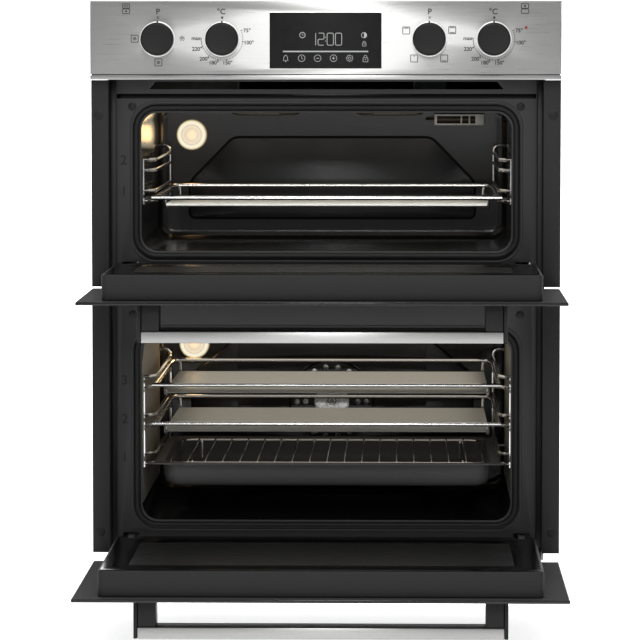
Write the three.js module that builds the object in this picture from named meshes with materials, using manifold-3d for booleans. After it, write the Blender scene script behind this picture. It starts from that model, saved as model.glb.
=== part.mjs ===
// Built-under double oven: two cavities, two drop-down doors, one control panel.
// Millimetres. X to the right, Y into the oven, Z up.
// Origin: the middle of the base panel's underside, where the oven rests in its housing.
// Every Y below is measured from the back faces of the front trims, where the housing's edge lies.
// The doors are drawn open, as the part rests; every other moving piece is drawn pushed home.

import * as THREE from 'three';
import { mergeVertices } from 'three/addons/utils/BufferGeometryUtils.js';
import Module from 'manifold-3d';

const wasm = await Module();
wasm.setup();

// ---------------------------------------------------------------- driving dimensions
const GAP = 0.3; // left between pieces that touch
const GRAIN = 0.001; // every corner is rounded to this, so that faces meant to be flush are flush
const FRONT_WIDTH = 594;
const HEIGHT = 715;
const BODY_WIDTH = 556;
const BODY_BACK = 546;
const BODY_TOP = 700;
const BASE_MIDDLE = 288; // from the trims' back faces to the middle of the base panel
const SHEET = 1.2; // folded sheet steel

const FRAME_FACE = 28; // front face of the enamelled front frame
const FRAME_HALF = 268;
const FRAME_BOTTOM = 14;
const FRAME_FOLD = 45; // how far back the front frame's side wings reach
const VENT_SLOT = { half: 225, bottom: 603, top: 612.5, slant: 8 };
const SIDE_VENT = { rows: 4, pitch: 14, height: 4, low: 622, ys: [400, 470] };
const TOP_VENT = { eachSide: 3, pitch: 52, half: 20, ys: [440, 446] };
const REAR_VENT = { eachSide: 4, pitch: 44, half: 15, zs: [652, 658] };
const TERMINAL = { x: 200, z: 620, half: 30, rise: 18, margin: 2, front: 505, pitch: 19 };

const TRIM = { inner: 275, outer: 297, bottom: 13.5, top: 615, breakLow: 345, breakHigh: 353 };

const FASCIA = { bottom: 615.5, front: -18, back: 0, sheet: 1.5 };
const DISPLAY = { width: 140, height: 70, z: 665 };
const KNOB_X = [-211.6, -130.3, 130.3, 211.6];
const KNOB_Z = 666.5;
const KNOB = { radius: 20.5, front: -37, back: -18.5, shaft: 3 };
const SELECTOR_HALF = 17; // half width of a selector's switch block
const THERMOSTAT_RADIUS = 19;
const SWITCH_NECK = 6; // radius of the collar behind the fascia

const OPENING_HALF = 235.5; // half width of both openings in the front frame
const OPENING_RADIUS = 21;
const CAVITY_HALF = 240;
const CAVITY_BACK = 444;
const CAVITY_RADIUS = 20;
const UPPER = { bottom: 397, top: 573, floor: 392, ceiling: 578 };
const LOWER = { bottom: 52, top: 288, floor: 47, ceiling: 293 };
const SEAL = { outer: 10, inner: 3, front: 23.5 };

const WIRE = 2.4; // radius of the side racks' wires
const RAIL_X = 222;
const RACK = { wall: 237.6, plane: 235, front: 76, rear: 402, end: 10, lead: 13 };
const RAIL_PAIR = 13.3; // from a level's lower wire to its upper wire
const UPPER_LEVELS = [458.4, 498.2];
const LOWER_LEVELS = [118.5, 168.3, 218.2];

const SHELF = { half: 221, front: 45, back: 390, rod: 2.8, deck: 209, drop: 11.5 };
const TRAY = { half: 224, front: 47, back: 388, body: 205, depth: 29, sheet: 1.2 };

const FAN = { z: 168, cover: { half: 130, low: 68, high: 268, front: 406 } };
const ELEMENT_RADIUS = 3.2;
const TAIL_REACH = 14; // how far an element's tail stands out behind the back wall
const TAIL_BORE = 4.5;
const GRILL = { z: 572, front: 100, rear: 375, pitch: 80, runs: 4 };
const RING = { radius: 78, y: 426, open: 0.22 }; // open: half the gap at its foot, in radians
const LAMP_BORE = 15;
const UPPER_LAMP = { x: -194, z: 535 };
const LOWER_LAMP = { x: -191, z: 246 };

const GLASS = 4;
const DOOR_GLASS_FACE = -20; // outer face of a closed door's glass
const PANEL_HALF = 266.5;
const PANEL_DEPTH = 33;
const WINDOW_HALF = 225;
const REBATE = 7; // how far the inner glass's seat stands outside the window
const DOORS = {
  upper: { low: 353.5, high: 611.5, hinge: { y: -4.6, z: 362.1 }, window: [457, 549] },
  lower: { low: 9, high: 344, hinge: { y: -3.5, z: 14.5 }, window: [88, 277] },
};
const PANEL_MARGIN = { bottom: 4, top: 15 };
const HANDLE = { half: 219.5, reach: 47.5, depth: 14.5, height: 35, below: 27, post: 22.5, cap: 4.5 };
const HINGE_X = 250;
const PIN = 3;
const HINGE_SLOT = { half: 10.5, low: 5, high: 21 };

const BLOWER = { half: 105, y: 110, z: 648, wheel: 24, blades: 16 };

// ---------------------------------------------------------------- finishes
const finish = (color, roughness, metalness) => () =>
  new THREE.MeshStandardMaterial({ color, roughness, metalness });
const GALVANISED = finish('#8f9496', 0.45, 0.9);
const ENAMEL = finish('#1b1c1d', 0.35, 0.1);
const BLACK_STEEL = finish('#2b2c2e', 0.5, 0.3);
const STAINLESS = finish('#b9babb', 0.32, 1.0);
const CHROME = finish('#d8d9da', 0.15, 1.0);
const BLACK_GLASS = finish('#2e2f31', 0.08, 0.0);
const CLEAR_GLASS = finish('#9aa0a2', 0.05, 0.0);
const BLACK_PLASTIC = finish('#1d1e20', 0.4, 0.0);
const WHITE_CERAMIC = finish('#d9d6cd', 0.6, 0.0);
const SILICONE = finish('#242528', 0.8, 0.0);
const ELEMENT = finish('#4a4540', 0.55, 0.8);
const LINER = finish('#6d6c68', 0.9, 0.1);

// ---------------------------------------------------------------- solids
/** A closed three.js geometry as a manifold solid. */
function solid(geometry) {
  const bare = geometry.clone();
  bare.deleteAttribute('normal');
  bare.deleteAttribute('uv');
  const place = bare.attributes.position.array;
  for (let i = 0; i < place.length; i++) place[i] = Math.round(place[i] / GRAIN) * GRAIN;
  const welded = mergeVertices(bare, GRAIN / 10);
  const index = welded.index.array;
  const triangles = [];
  for (let i = 0; i < index.length; i += 3) {
    const [a, b, c] = [index[i], index[i + 1], index[i + 2]];
    if (a !== b && b !== c && c !== a) triangles.push(a, b, c);
  }
  return new wasm.Manifold(new wasm.Mesh({
    numProp: 3,
    vertProperties: new Float32Array(welded.attributes.position.array),
    triVerts: new Uint32Array(triangles),
  }));
}

/** A manifold solid as a three.js geometry. */
function geometryOf(manifold) {
  const mesh = manifold.getMesh();
  const geometry = new THREE.BufferGeometry();
  geometry.setAttribute('position', new THREE.BufferAttribute(new Float32Array(mesh.vertProperties), 3));
  geometry.setIndex(new THREE.BufferAttribute(new Uint32Array(mesh.triVerts), 1));
  geometry.computeVertexNormals();
  return geometry;
}

const join = (...parts) => parts.flat().reduce((whole, part) => whole.add(part));
const cut = (body, ...tools) => tools.flat().reduce((whole, tool) => whole.subtract(tool), body);

/** A block between two corners. */
function block([x0, x1], [y0, y1], [z0, z1]) {
  const box = new THREE.BoxGeometry(x1 - x0, y1 - y0, z1 - z0);
  return solid(box.translate((x0 + x1) / 2, (y0 + y1) / 2, (z0 + z1) / 2));
}

/** A round bar from one point to another. */
function bar(from, to, radius, sides = 6) {
  const a = new THREE.Vector3(...from);
  const b = new THREE.Vector3(...to);
  const along = b.clone().sub(a);
  const rod = new THREE.CylinderGeometry(radius, radius, along.length(), sides);
  const turn = new THREE.Quaternion().setFromUnitVectors(
    new THREE.Vector3(0, 1, 0), along.clone().normalize());
  rod.applyQuaternion(turn);
  rod.translate((a.x + b.x) / 2, (a.y + b.y) / 2, (a.z + b.z) / 2);
  return solid(rod);
}

/** A wire through a list of points. */
function wire(points, radius) {
  return join(points.slice(1).map((point, i) => bar(points[i], point, radius)));
}

/** A tube of one radius pushed along a curve. */
function tube(curve, radius, steps, sides = 8) {
  const section = new THREE.Shape();
  for (let i = 0; i < sides; i++) {
    const angle = (2 * Math.PI * i) / sides;
    const point = [radius * Math.cos(angle), radius * Math.sin(angle)];
    if (i === 0) section.moveTo(...point);
    else section.lineTo(...point);
  }
  return solid(new THREE.ExtrudeGeometry(section, { extrudePath: curve, steps, curveSegments: 1 }));
}

/** A rectangle with round corners, drawn in the XZ plane. */
function roundedRect([x0, x1], [z0, z1], radius) {
  const path = new THREE.Shape();
  const quarter = Math.PI / 2;
  path.moveTo(x0 + radius, z0);
  path.lineTo(x1 - radius, z0);
  path.absarc(x1 - radius, z0 + radius, radius, -quarter, 0, false);
  path.lineTo(x1, z1 - radius);
  path.absarc(x1 - radius, z1 - radius, radius, 0, quarter, false);
  path.lineTo(x0 + radius, z1);
  path.absarc(x0 + radius, z1 - radius, radius, quarter, 2 * quarter, false);
  path.lineTo(x0, z0 + radius);
  path.absarc(x0 + radius, z0 + radius, radius, 2 * quarter, 3 * quarter, false);
  return path;
}

/** A shape in the XZ plane pushed along Y from y0 to y1. */
function plate(shape, [y0, y1], segments = 4) {
  const geometry = new THREE.ExtrudeGeometry(shape, {
    depth: y1 - y0, bevelEnabled: false, curveSegments: segments,
  });
  geometry.rotateX(Math.PI / 2);
  return solid(geometry.translate(0, y1, 0));
}

/** A rounded block with its corners in the XZ plane. */
function slab(xs, ys, zs, radius, segments = 4) {
  return plate(roundedRect(xs, zs, radius), ys, segments);
}

/** A closed outline of [y, z] points pushed along X. */
function section(points, [x0, x1]) {
  const shape = new THREE.Shape(points.map(([y, z]) => new THREE.Vector2(y, z)));
  const geometry = new THREE.ExtrudeGeometry(shape, { depth: x1 - x0, bevelEnabled: false });
  geometry.rotateY(Math.PI / 2);
  geometry.rotateX(Math.PI / 2);
  return solid(geometry.translate(x0, 0, 0));
}

/** A closed outline of [x, z] points pushed along Y. */
function profile(points, ys) {
  return plate(new THREE.Shape(points.map(([x, z]) => new THREE.Vector2(x, z))), ys);
}

/** A turned piece about the Y axis, from [radius, y] points that start and end on the axis. */
function turned(points, sides = 24) {
  const lathe = new THREE.LatheGeometry(points.map(([r, y]) => new THREE.Vector2(r, y)), sides);
  return solid(lathe);
}

const root = new THREE.Group();
const oven = new THREE.Group();
oven.position.y = -BASE_MIDDLE;
root.add(oven);

/** Adds one named piece to a group. */
function piece(name, body, material, parent = oven) {
  const mesh = new THREE.Mesh(geometryOf(body), material());
  mesh.name = name;
  parent.add(mesh);
  return mesh;
}

const SIDES = [['left', -1], ['right', 1]];

/** A [low, high] range of X on one side of the centre line. */
const onSide = (sign, near, far) => (sign < 0 ? [-far, -near] : [near, far]);

// ---------------------------------------------------------------- cabinet
/** Base, sides, top and back: folded sheet, open towards the front frame. */
function cabinet() {
  const half = BODY_WIDTH / 2;
  const inside = half - SHEET - GAP;
  const front = FRAME_FACE + 3;

  const foot = 12;
  piece('base_panel', join(
    block([-inside, inside], [front, BODY_BACK - SHEET - GAP], [0, SHEET]),
    block([-inside, SHEET - inside], [front, BODY_BACK - SHEET - GAP], [SHEET / 2, foot]),
    block([inside - SHEET, inside], [front, BODY_BACK - SHEET - GAP], [SHEET / 2, foot]),
  ), GALVANISED);

  for (const [side, sign] of SIDES) {
    const sheet = join(
      block(onSide(sign, half - SHEET, half), [front, BODY_BACK], [0, BODY_TOP]),
      block(onSide(sign, half - SHEET, half), [FASCIA.back + GAP, front + 20], [TRIM.top + 1, BODY_TOP]),
    );
    const vents = [];
    for (let row = 0; row < SIDE_VENT.rows; row++) {
      const low = SIDE_VENT.low + SIDE_VENT.pitch * row;
      vents.push(block(onSide(sign, half - 2 * SHEET, half + SHEET), SIDE_VENT.ys, [low, low + SIDE_VENT.height]));
    }
    piece(`side_panel_${side}`, cut(sheet, vents), GALVANISED);
  }

  const lid = block([-inside, inside], [FASCIA.back + GAP, BODY_BACK - SHEET - GAP],
    [BODY_TOP - SHEET, BODY_TOP]);
  const slots = ({ eachSide, pitch, half: reach }, ys, zs) => {
    const row = [];
    for (let i = -eachSide; i <= eachSide; i++) row.push(block([pitch * i - reach, pitch * i + reach], ys, zs));
    return row;
  };
  const louvres = slots(TOP_VENT, TOP_VENT.ys, [BODY_TOP - 10, BODY_TOP + 10]);
  piece('top_cover', cut(lid, louvres), GALVANISED);

  const back = block([-inside, inside], [BODY_BACK - SHEET, BODY_BACK], [SHEET + GAP, BODY_TOP]);
  const throughBack = [BODY_BACK - 16, BODY_BACK + 14];
  const exits = slots(REAR_VENT, throughBack, REAR_VENT.zs);
  const { x, z, half: bodyHalf, rise, margin } = TERMINAL;
  const socket = block([x - bodyHalf - margin, x + bodyHalf + margin], throughBack,
    [z - rise - margin, z + rise + margin]);
  piece('rear_cover', cut(back, exits, socket), GALVANISED);
}

/** Enamelled front frame with both openings, the air outlet, the hinge slots and the switch carrier. */
function frontFrame() {
  const back = FRAME_FACE + SHEET;
  const wing = BODY_WIDTH / 2 - SHEET - GAP;
  const top = BODY_TOP - SHEET - GAP;
  const face = block([-FRAME_HALF, FRAME_HALF], [FRAME_FACE, back], [FRAME_BOTTOM, top]);
  const foldHeight = [FRAME_BOTTOM + 0.5, top - 0.5];
  const folds = SIDES.map(([, sign]) => join(
    block(onSide(sign, FRAME_HALF - SHEET, FRAME_HALF), [FRAME_FACE + SHEET / 2, FRAME_FOLD], foldHeight),
    block(onSide(sign, FRAME_HALF - SHEET, wing), [FRAME_FOLD - SHEET, FRAME_FOLD], foldHeight),
  ));
  const through = [FRAME_FACE - 10, back + 10];
  const holes = [UPPER, LOWER].map(({ bottom, top: high }) =>
    slab([-OPENING_HALF, OPENING_HALF], through, [bottom, high], OPENING_RADIUS, 6));
  const { half, bottom, top: slotTop, slant } = VENT_SLOT;
  holes.push(profile([[-half, bottom], [half, bottom], [half - slant, slotTop], [slant - half, slotTop]],
    through));
  for (const { hinge } of Object.values(DOORS)) {
    for (const [, sign] of SIDES) {
      const slot = onSide(sign, HINGE_X - HINGE_SLOT.half, HINGE_X + HINGE_SLOT.half);
      holes.push(block(slot, through, [hinge.z + HINGE_SLOT.low, hinge.z + HINGE_SLOT.high]));
    }
  }
  piece('front_frame', cut(join(face, folds), holes), ENAMEL);
}

/** Black side trims; each front flange is broken where the open upper door's glass passes. */
function trims() {
  const { inner, outer, bottom, top, breakLow, breakHigh } = TRIM;
  const web = BODY_WIDTH / 2 - SHEET - GAP;
  for (const [side, sign] of SIDES) {
    const flange = block(onSide(sign, inner, outer), [-2, 0], [bottom, top]);
    const fold = block(onSide(sign, inner, web), [-1, FRAME_FOLD - SHEET - GAP], [bottom, top]);
    const gap = block(onSide(sign, inner - 5, outer + 5), [-5, 7], [breakLow, breakHigh]);
    piece(`trim_${side}`, cut(join(flange, fold), gap), BLACK_STEEL);
  }
}

// ---------------------------------------------------------------- control panel
/** Brushed steel fascia: a folded pan with a display window, four shaft holes and two brackets. */
function controlFascia() {
  const half = FRONT_WIDTH / 2;
  const { bottom, front, back, sheet } = FASCIA;
  const shell = cut(
    block([-half, half], [front, back], [bottom, HEIGHT]),
    block([sheet - half, half - sheet], [front + sheet, back + 5], [bottom + sheet, HEIGHT - sheet]),
  );
  const brackets = SIDES.map(([, sign]) =>
    block(onSide(sign, 256, 264), [front + sheet / 2, FRAME_FACE - GAP], [640, 690]));
  const { width, height, z } = DISPLAY;
  const window = block(
    [-width / 2 - GAP, width / 2 + GAP], [front - 5, front + 5],
    [z - height / 2 - GAP, z + height / 2 + GAP]);
  const shafts = KNOB_X.map((x) => bar([x, front - 5, KNOB_Z], [x, front + 5, KNOB_Z], KNOB.shaft + 2, 12));
  piece('control_fascia', cut(join(shell, brackets), window, shafts), STAINLESS);
}

/** Clock and timer module: a flush lens with its electronics box behind it. */
function displayModule() {
  const { width, height, z } = DISPLAY;
  const lens = block([-width / 2, width / 2], [FASCIA.front - 0.5, FASCIA.front + 3],
    [z - height / 2, z + height / 2]);
  const housing = block([-width / 2 - 6, width / 2 + 6], [FASCIA.front + 2, FRAME_FACE - GAP],
    [z - height / 2 + 4, z + height / 2 - 4]);
  const clearance = block([-100, 100], [FASCIA.front + 1.9, FASCIA.front + 2.5], [z - 50, z + 50]);
  const rim = block([-width / 2 - 7, -width / 2], [FASCIA.front, FASCIA.front + 2.5], [z - 50, z + 50]);
  piece('display_module', join(lens, cut(housing, cut(clearance, lens), rim)), BLACK_PLASTIC);
}

/** One knob on its shaft; the dished skirt leaves a thin rim around the grip. */
function knobBody() {
  const { radius, front, back, shaft } = KNOB;
  const outline = [
    [0, front + 0.6], [radius - 3, front], [radius - 0.8, front + 1.6], [radius, front + 4],
    [radius, back - 2], [radius + 1.4, back - 1], [radius + 1.4, back - GAP], [shaft, back - GAP],
    [shaft, -4], [0, -4],
  ];
  return turned(outline.map(([r, y]) => [r, -y]).reverse(), 16);
}

/** The four knobs and the switches or thermostats they turn. */
function controls() {
  const names = ['selector', 'thermostat'];
  KNOB_X.forEach((x, i) => {
    const level = i < 2 ? 'upper' : 'lower';
    const kind = names[i % 2];
    const place = new THREE.Group();
    place.position.set(x, 0, KNOB_Z);
    oven.add(place);
    const knob = piece(`${level}_${kind}_knob`, knobBody(), BLACK_PLASTIC, place);
    knob.rotation.x = Math.PI;
    const bore = bar([0, -20, 0], [0, 0, 0], KNOB.shaft + GAP, 12);
    const neck = bar([0, -8, 0], [0, 3, 0], SWITCH_NECK, 12);
    const body = kind === 'selector'
      ? block([-SELECTOR_HALF, SELECTOR_HALF], [2, FRAME_FACE - GAP], [-SELECTOR_HALF, SELECTOR_HALF])
      : bar([0, 2, 0], [0, FRAME_FACE - GAP, 0], THERMOSTAT_RADIUS, 16);
    piece(`${level}_${kind}_switch`, cut(join(neck, body), bore), GALVANISED, place);
  });
}

// ---------------------------------------------------------------- cavities
/** An enamelled box with round corners, open to the front, with a flange behind the front frame. */
function cavityShell({ floor, ceiling }, holes) {
  const front = FRAME_FACE + SHEET + GAP;
  const radius = CAVITY_RADIUS;
  const half = CAVITY_HALF;
  const outer = slab([-half - SHEET, half + SHEET], [front, CAVITY_BACK + SHEET],
    [floor - SHEET, ceiling + SHEET], radius + SHEET, 3);
  const inner = slab([-half, half], [front - 10, CAVITY_BACK], [floor, ceiling], radius, 3);
  const flange = slab([-half - 11, half + 11], [front, front + SHEET], [floor - 9, ceiling + 9], radius + 9, 3);
  return cut(join(outer, flange), inner, holes);
}

const wallHole = (x, z, radius) =>
  bar([x, CAVITY_BACK - 10, z], [x, CAVITY_BACK + 10, z], radius, 12);

/** Door gasket pressed on to the frame around one opening. */
function seal({ bottom, top }) {
  const ring = (grow, ys) => slab([-OPENING_HALF - grow, OPENING_HALF + grow], ys,
    [bottom - grow, top + grow], OPENING_RADIUS + grow, 3);
  return cut(ring(SEAL.outer, [SEAL.front, FRAME_FACE - GAP]), ring(SEAL.inner, [0, FRAME_FACE + 12]));
}

/** Round lens with a threaded collar that passes through the back wall. */
function lampGlass({ x, z }, name) {
  const place = new THREE.Group();
  place.position.set(x, CAVITY_BACK, z);
  oven.add(place);
  const outline = [
    [0, -14], [14, -14], [14, GAP], [21, GAP], [21, 2.6], [17, 3], [14, 7], [8, 11], [0, 12],
  ];
  const lens = piece(name, turned(outline, 16), CLEAR_GLASS, place);
  lens.rotation.x = Math.PI;
}

/** A side rack: a pair of wires for each level between a front and a rear upright. */
function rack(levels, sign) {
  const { front, rear, end, lead } = RACK;
  const low = levels[0] - end;
  const high = levels[levels.length - 1] + RAIL_PAIR + end;
  const wall = sign * RACK.wall;
  const outer = sign * RACK.plane;
  const inner = sign * RAIL_X;
  const parts = [
    wire([[wall, front, low], [outer, front, low], [outer, front, high]], WIRE),
    wire([[wall, rear, low], [inner, rear, low], [inner, rear, high], [wall, rear, high]], WIRE),
    bar([outer, front, high], [wall, front, high], WIRE),
  ];
  for (const level of levels) {
    for (const z of [level, level + RAIL_PAIR]) {
      parts.push(wire([[outer, front, z], [inner, front + lead, z], [inner, rear, z]], WIRE));
    }
  }
  return join(parts);
}

/** A wire shelf: a rod frame, and a lower deck of cross wires hung from it by two bearers. */
function shelf() {
  const { half, front, back, rod, deck, drop } = SHELF;
  const parts = [
    bar([-half - 3, front, 0], [half + 3, front, 0], rod),
    bar([-half, back, 0], [half, back, 0], rod),
    bar([-half, front, 0], [-half, back, 0], rod),
    bar([half, front, 0], [half, back, 0], rod),
  ];
  const deckFront = front + 14;
  const deckBack = back - 12;
  const wires = 13;
  const thick = 1.5; // half the thickness of a deck wire
  for (let i = 0; i < wires; i++) {
    const y = deckFront + (i * (deckBack - deckFront)) / (wires - 1);
    parts.push(block([-deck, deck], [y - thick, y + thick], [-drop - thick, thick - drop]));
  }
  const under = -drop - 2;
  for (const x of [-198, 198]) {
    parts.push(wire([[x, front, 0], [x, deckFront - 3, under], [x, deckBack + 2, under], [x, back, 0]], 2));
  }
  return join(parts);
}

/** Sensor bulb held against the back wall by two clips. */
function temperatureProbe() {
  const y = CAVITY_BACK - 14;
  const z = 556;
  const parts = [
    bar([142, y, z], [208, y, z], 4, 10),
    bar([128, y, z], [143, y, z], 1.5, 6),
  ];
  for (const x of [146, 198]) {
    parts.push(block([x - 6, x + 6], [y - 6, CAVITY_BACK - GAP], [z - 8, z - 6.5]));
    parts.push(block([x - 6, x + 6], [y - 6, CAVITY_BACK - GAP], [z + 6.5, z + 8]));
    parts.push(block([x - 6, x + 6], [CAVITY_BACK - GAP - 1.5, CAVITY_BACK - GAP], [z - 8, z + 8]));
    parts.push(block([x - 1, x + 1], [y - 4, y + 4], [z - 7, z + 7]));
  }
  return join(parts);
}

/** Serpentine grill element under the upper ceiling, with its tails through the back wall. */
function grillElement() {
  const { z, front, rear, pitch, runs } = GRILL;
  const radius = pitch / 2;
  const path = new THREE.CurvePath();
  const start = -pitch * (runs - 1) / 2;
  const at = (x, y) => new THREE.Vector3(x, y, z);
  for (let i = 0; i < runs; i++) {
    const x = start + i * pitch;
    const forward = i % 2 === 0;
    const from = i === 0 ? CAVITY_BACK + TAIL_REACH : rear;
    const to = i === runs - 1 ? CAVITY_BACK + TAIL_REACH : rear;
    path.add(new THREE.LineCurve3(at(x, forward ? from : front), at(x, forward ? front : to)));
    if (i === runs - 1) break;
    const mid = x + radius;
    const edge = forward ? front : rear;
    const bulge = forward ? edge - radius : edge + radius;
    path.add(new THREE.QuadraticBezierCurve3(at(x, edge), at(x, bulge), at(mid, bulge)));
    path.add(new THREE.QuadraticBezierCurve3(at(mid, bulge), at(x + pitch, bulge), at(x + pitch, edge)));
  }
  return tube(path, ELEMENT_RADIUS, 60, 6);
}

/** Ring element around the convection fan, with two tails through the back wall. */
function ringElement() {
  const { radius, y, open } = RING;
  const points = [];
  for (let i = 0; i <= 24; i++) {
    const angle = -Math.PI / 2 + open + (2 * Math.PI - 2 * open) * (i / 24);
    points.push(new THREE.Vector3(radius * Math.cos(angle), y, FAN.z + radius * Math.sin(angle)));
  }
  const first = points[0];
  const last = points[points.length - 1];
  const ring = tube(new THREE.CatmullRomCurve3(points), ELEMENT_RADIUS, 28, 6);
  const tails = [first, last].map(({ x, z }) =>
    bar([x, y - 2, z], [x, CAVITY_BACK + TAIL_REACH, z], ELEMENT_RADIUS, 8));
  return join(ring, tails);
}

/** Pan-shaped cover over the fan, with rings of round holes and side outlets. */
function fanCover() {
  const { half, low, high, front } = FAN.cover;
  const back = CAVITY_BACK - GAP;
  const pan = cut(
    slab([-half, half], [front, back], [low, high], 24, 4),
    slab([SHEET - half, half - SHEET], [front + SHEET, back + 5], [low + SHEET, high - SHEET], 23, 4),
  );
  const holes = [];
  for (const [ring, count] of [[48, 18], [36, 12]]) {
    for (let i = 0; i < count; i++) {
      const angle = (2 * Math.PI * i) / count;
      const x = ring * Math.cos(angle);
      const z = FAN.z + ring * Math.sin(angle);
      holes.push(bar([x, front - 5, z], [x, front + 5, z], 4));
    }
  }
  holes.push(bar([0, front - 5, FAN.z], [0, front + 5, FAN.z], 24, 16));
  const hub = join(bar([0, front, FAN.z], [0, front + SHEET, FAN.z], 10, 16),
    block([-25, 25], [front, front + SHEET], [FAN.z - 3, FAN.z + 3]),
    block([-3, 3], [front, front + SHEET], [FAN.z - 25, FAN.z + 25]));
  for (const sign of [-1, 1]) {
    for (const z of [108, 148, 188, 228]) {
      holes.push(block(onSide(sign, half - 10, half + 10), [front + 10, front + 26], [z - 14, z + 14]));
    }
  }
  return join(cut(pan, holes), hub);
}

/** Paddle-wheel convection fan with a bored hub. */
function convectionFan() {
  const place = new THREE.Group();
  place.position.set(0, 0, FAN.z);
  oven.add(place);
  const plateY = 433;
  const parts = [
    bar([0, plateY, 0], [0, plateY + 1.5, 0], 56, 24),
    bar([0, 416, 0], [0, plateY + 1, 0], 9, 16),
  ];
  const blade = new THREE.BoxGeometry(24, 19, 1.5);
  for (let i = 0; i < 12; i++) {
    const turn = blade.clone().translate(42, plateY - 9, 0).rotateY((2 * Math.PI * i) / 12);
    parts.push(solid(turn));
  }
  const bore = bar([0, 420, 0], [0, 450, 0], PIN + GAP, 16);
  piece('convection_fan', cut(join(parts), bore), GALVANISED, place);
}

/** Motor behind the back wall; its shaft carries the convection fan. */
function fanMotor() {
  const parts = [
    bar([0, 421, FAN.z], [0, 460, FAN.z], PIN, 16),
    bar([0, CAVITY_BACK + SHEET + GAP, FAN.z], [0, 510, FAN.z], 34, 20),
    block([-48, 48], [CAVITY_BACK + SHEET + GAP, CAVITY_BACK + SHEET + GAP + 2], [FAN.z - 10, FAN.z + 10]),
  ];
  return join(parts);
}

/** Catalytic side liner: a flat plate with slanted upper corners. */
function liner(sign) {
  const outline = [[38, 68], [424, 68], [424, 240], [392, 270], [110, 270], [38, 232]];
  return section(outline, onSide(sign, 238.3, 239.7));
}

/** Deep enamelled tray with a flat rim that rides on the rack wires. */
function roastingTray() {
  const { half, front, back, body, depth, sheet } = TRAY;
  const inset = half - body;
  const rim = block([-half, half], [front, back], [0, sheet]);
  const outside = slabUp([-body, body], [front + inset, back - inset], [-depth, sheet / 2], 12);
  const inside = slabUp([sheet - body, body - sheet], [front + inset + sheet, back - inset - sheet],
    [sheet - depth, 20], 11);
  return cut(join(rim, outside), inside);
}

/** A rounded block with its corners in the XY plane. */
function slabUp(xs, ys, [z0, z1], radius, segments = 3) {
  const geometry = new THREE.ExtrudeGeometry(roundedRect(xs, ys, radius), {
    depth: z1 - z0, bevelEnabled: false, curveSegments: segments,
  });
  return solid(geometry.translate(0, 0, z0));
}

/** Loose grid that stands inside the tray. */
function trayGrid() {
  const half = 196;
  const front = 75;
  const back = 360;
  const z = -5;
  const ends = [[front - 2.5, front + 2.5], [back - 2.5, back + 2.5]];
  const parts = ends.map((ys) => block([-half, half], ys, [z - 2.5, z + 2.5]));
  for (const x of [-half, half]) parts.push(bar([x, front, z], [x, back, z], 2.5));
  for (let i = 0; i < 17; i++) {
    const x = 22 * (i - 8);
    parts.push(block([x - 1.5, x + 1.5], [front, back], [z + 0.5, z + 4]));
  }
  const foot = TRAY.sheet + GAP - TRAY.depth;
  for (const x of [-half + 6, half - 6]) {
    for (const y of [front, back]) parts.push(bar([x, y, foot], [x, y, z], 2.5));
  }
  return join(parts);
}

/** The upper oven's cavity and what is fixed in it. */
function upperOven() {
  const tailX = (GRILL.pitch * (GRILL.runs - 1)) / 2;
  const tails = [-tailX, tailX].map((x) => wallHole(x, GRILL.z, TAIL_BORE));
  const lamp = wallHole(UPPER_LAMP.x, UPPER_LAMP.z, LAMP_BORE);
  piece('upper_cavity', cavityShell(UPPER, [lamp, ...tails]), ENAMEL);
  piece('upper_seal', seal(UPPER), SILICONE);
  piece('grill_element', grillElement(), ELEMENT);
  lampGlass(UPPER_LAMP, 'upper_lamp_glass');
  piece('temperature_probe', temperatureProbe(), WHITE_CERAMIC);
  for (const [side, sign] of SIDES) piece(`upper_rack_${side}`, rack(UPPER_LEVELS, sign), CHROME);
}

/** The lower oven's cavity and what is fixed in it. */
function lowerOven() {
  const tailX = RING.radius * Math.sin(RING.open);
  const tailZ = FAN.z - RING.radius * Math.cos(RING.open);
  const holes = [
    wallHole(LOWER_LAMP.x, LOWER_LAMP.z, LAMP_BORE), wallHole(0, FAN.z, 8),
    wallHole(-tailX, tailZ, TAIL_BORE), wallHole(tailX, tailZ, TAIL_BORE),
  ];
  piece('lower_cavity', cavityShell(LOWER, holes), ENAMEL);
  piece('lower_seal', seal(LOWER), SILICONE);
  piece('fan_cover', fanCover(), ENAMEL);
  convectionFan();
  piece('fan_motor', fanMotor(), GALVANISED);
  piece('ring_element', ringElement(), ELEMENT);
  lampGlass(LOWER_LAMP, 'lower_lamp_glass');
  for (const [side, sign] of SIDES) {
    piece(`lower_rack_${side}`, rack(LOWER_LEVELS, sign), CHROME);
    piece(`liner_${side}`, liner(sign), LINER);
  }
}

/** Three wire shelves, the tray and its grid, each standing on a level's lower wires. */
function shelvesAndTray() {
  const shelfRise = WIRE + SHELF.rod + GAP;
  const levels = {
    upper_shelf: UPPER_LEVELS[0], lower_shelf_top: LOWER_LEVELS[2], lower_shelf_middle: LOWER_LEVELS[1],
  };
  for (const [name, level] of Object.entries(levels)) {
    piece(name, shelf(), CHROME).position.z = level + shelfRise;
  }
  const rim = new THREE.Group();
  rim.position.z = LOWER_LEVELS[0] + WIRE + GAP;
  oven.add(rim);
  piece('roasting_tray', roastingTray(), ENAMEL, rim);
  piece('tray_grid', trayGrid(), CHROME, rim);
}

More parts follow.
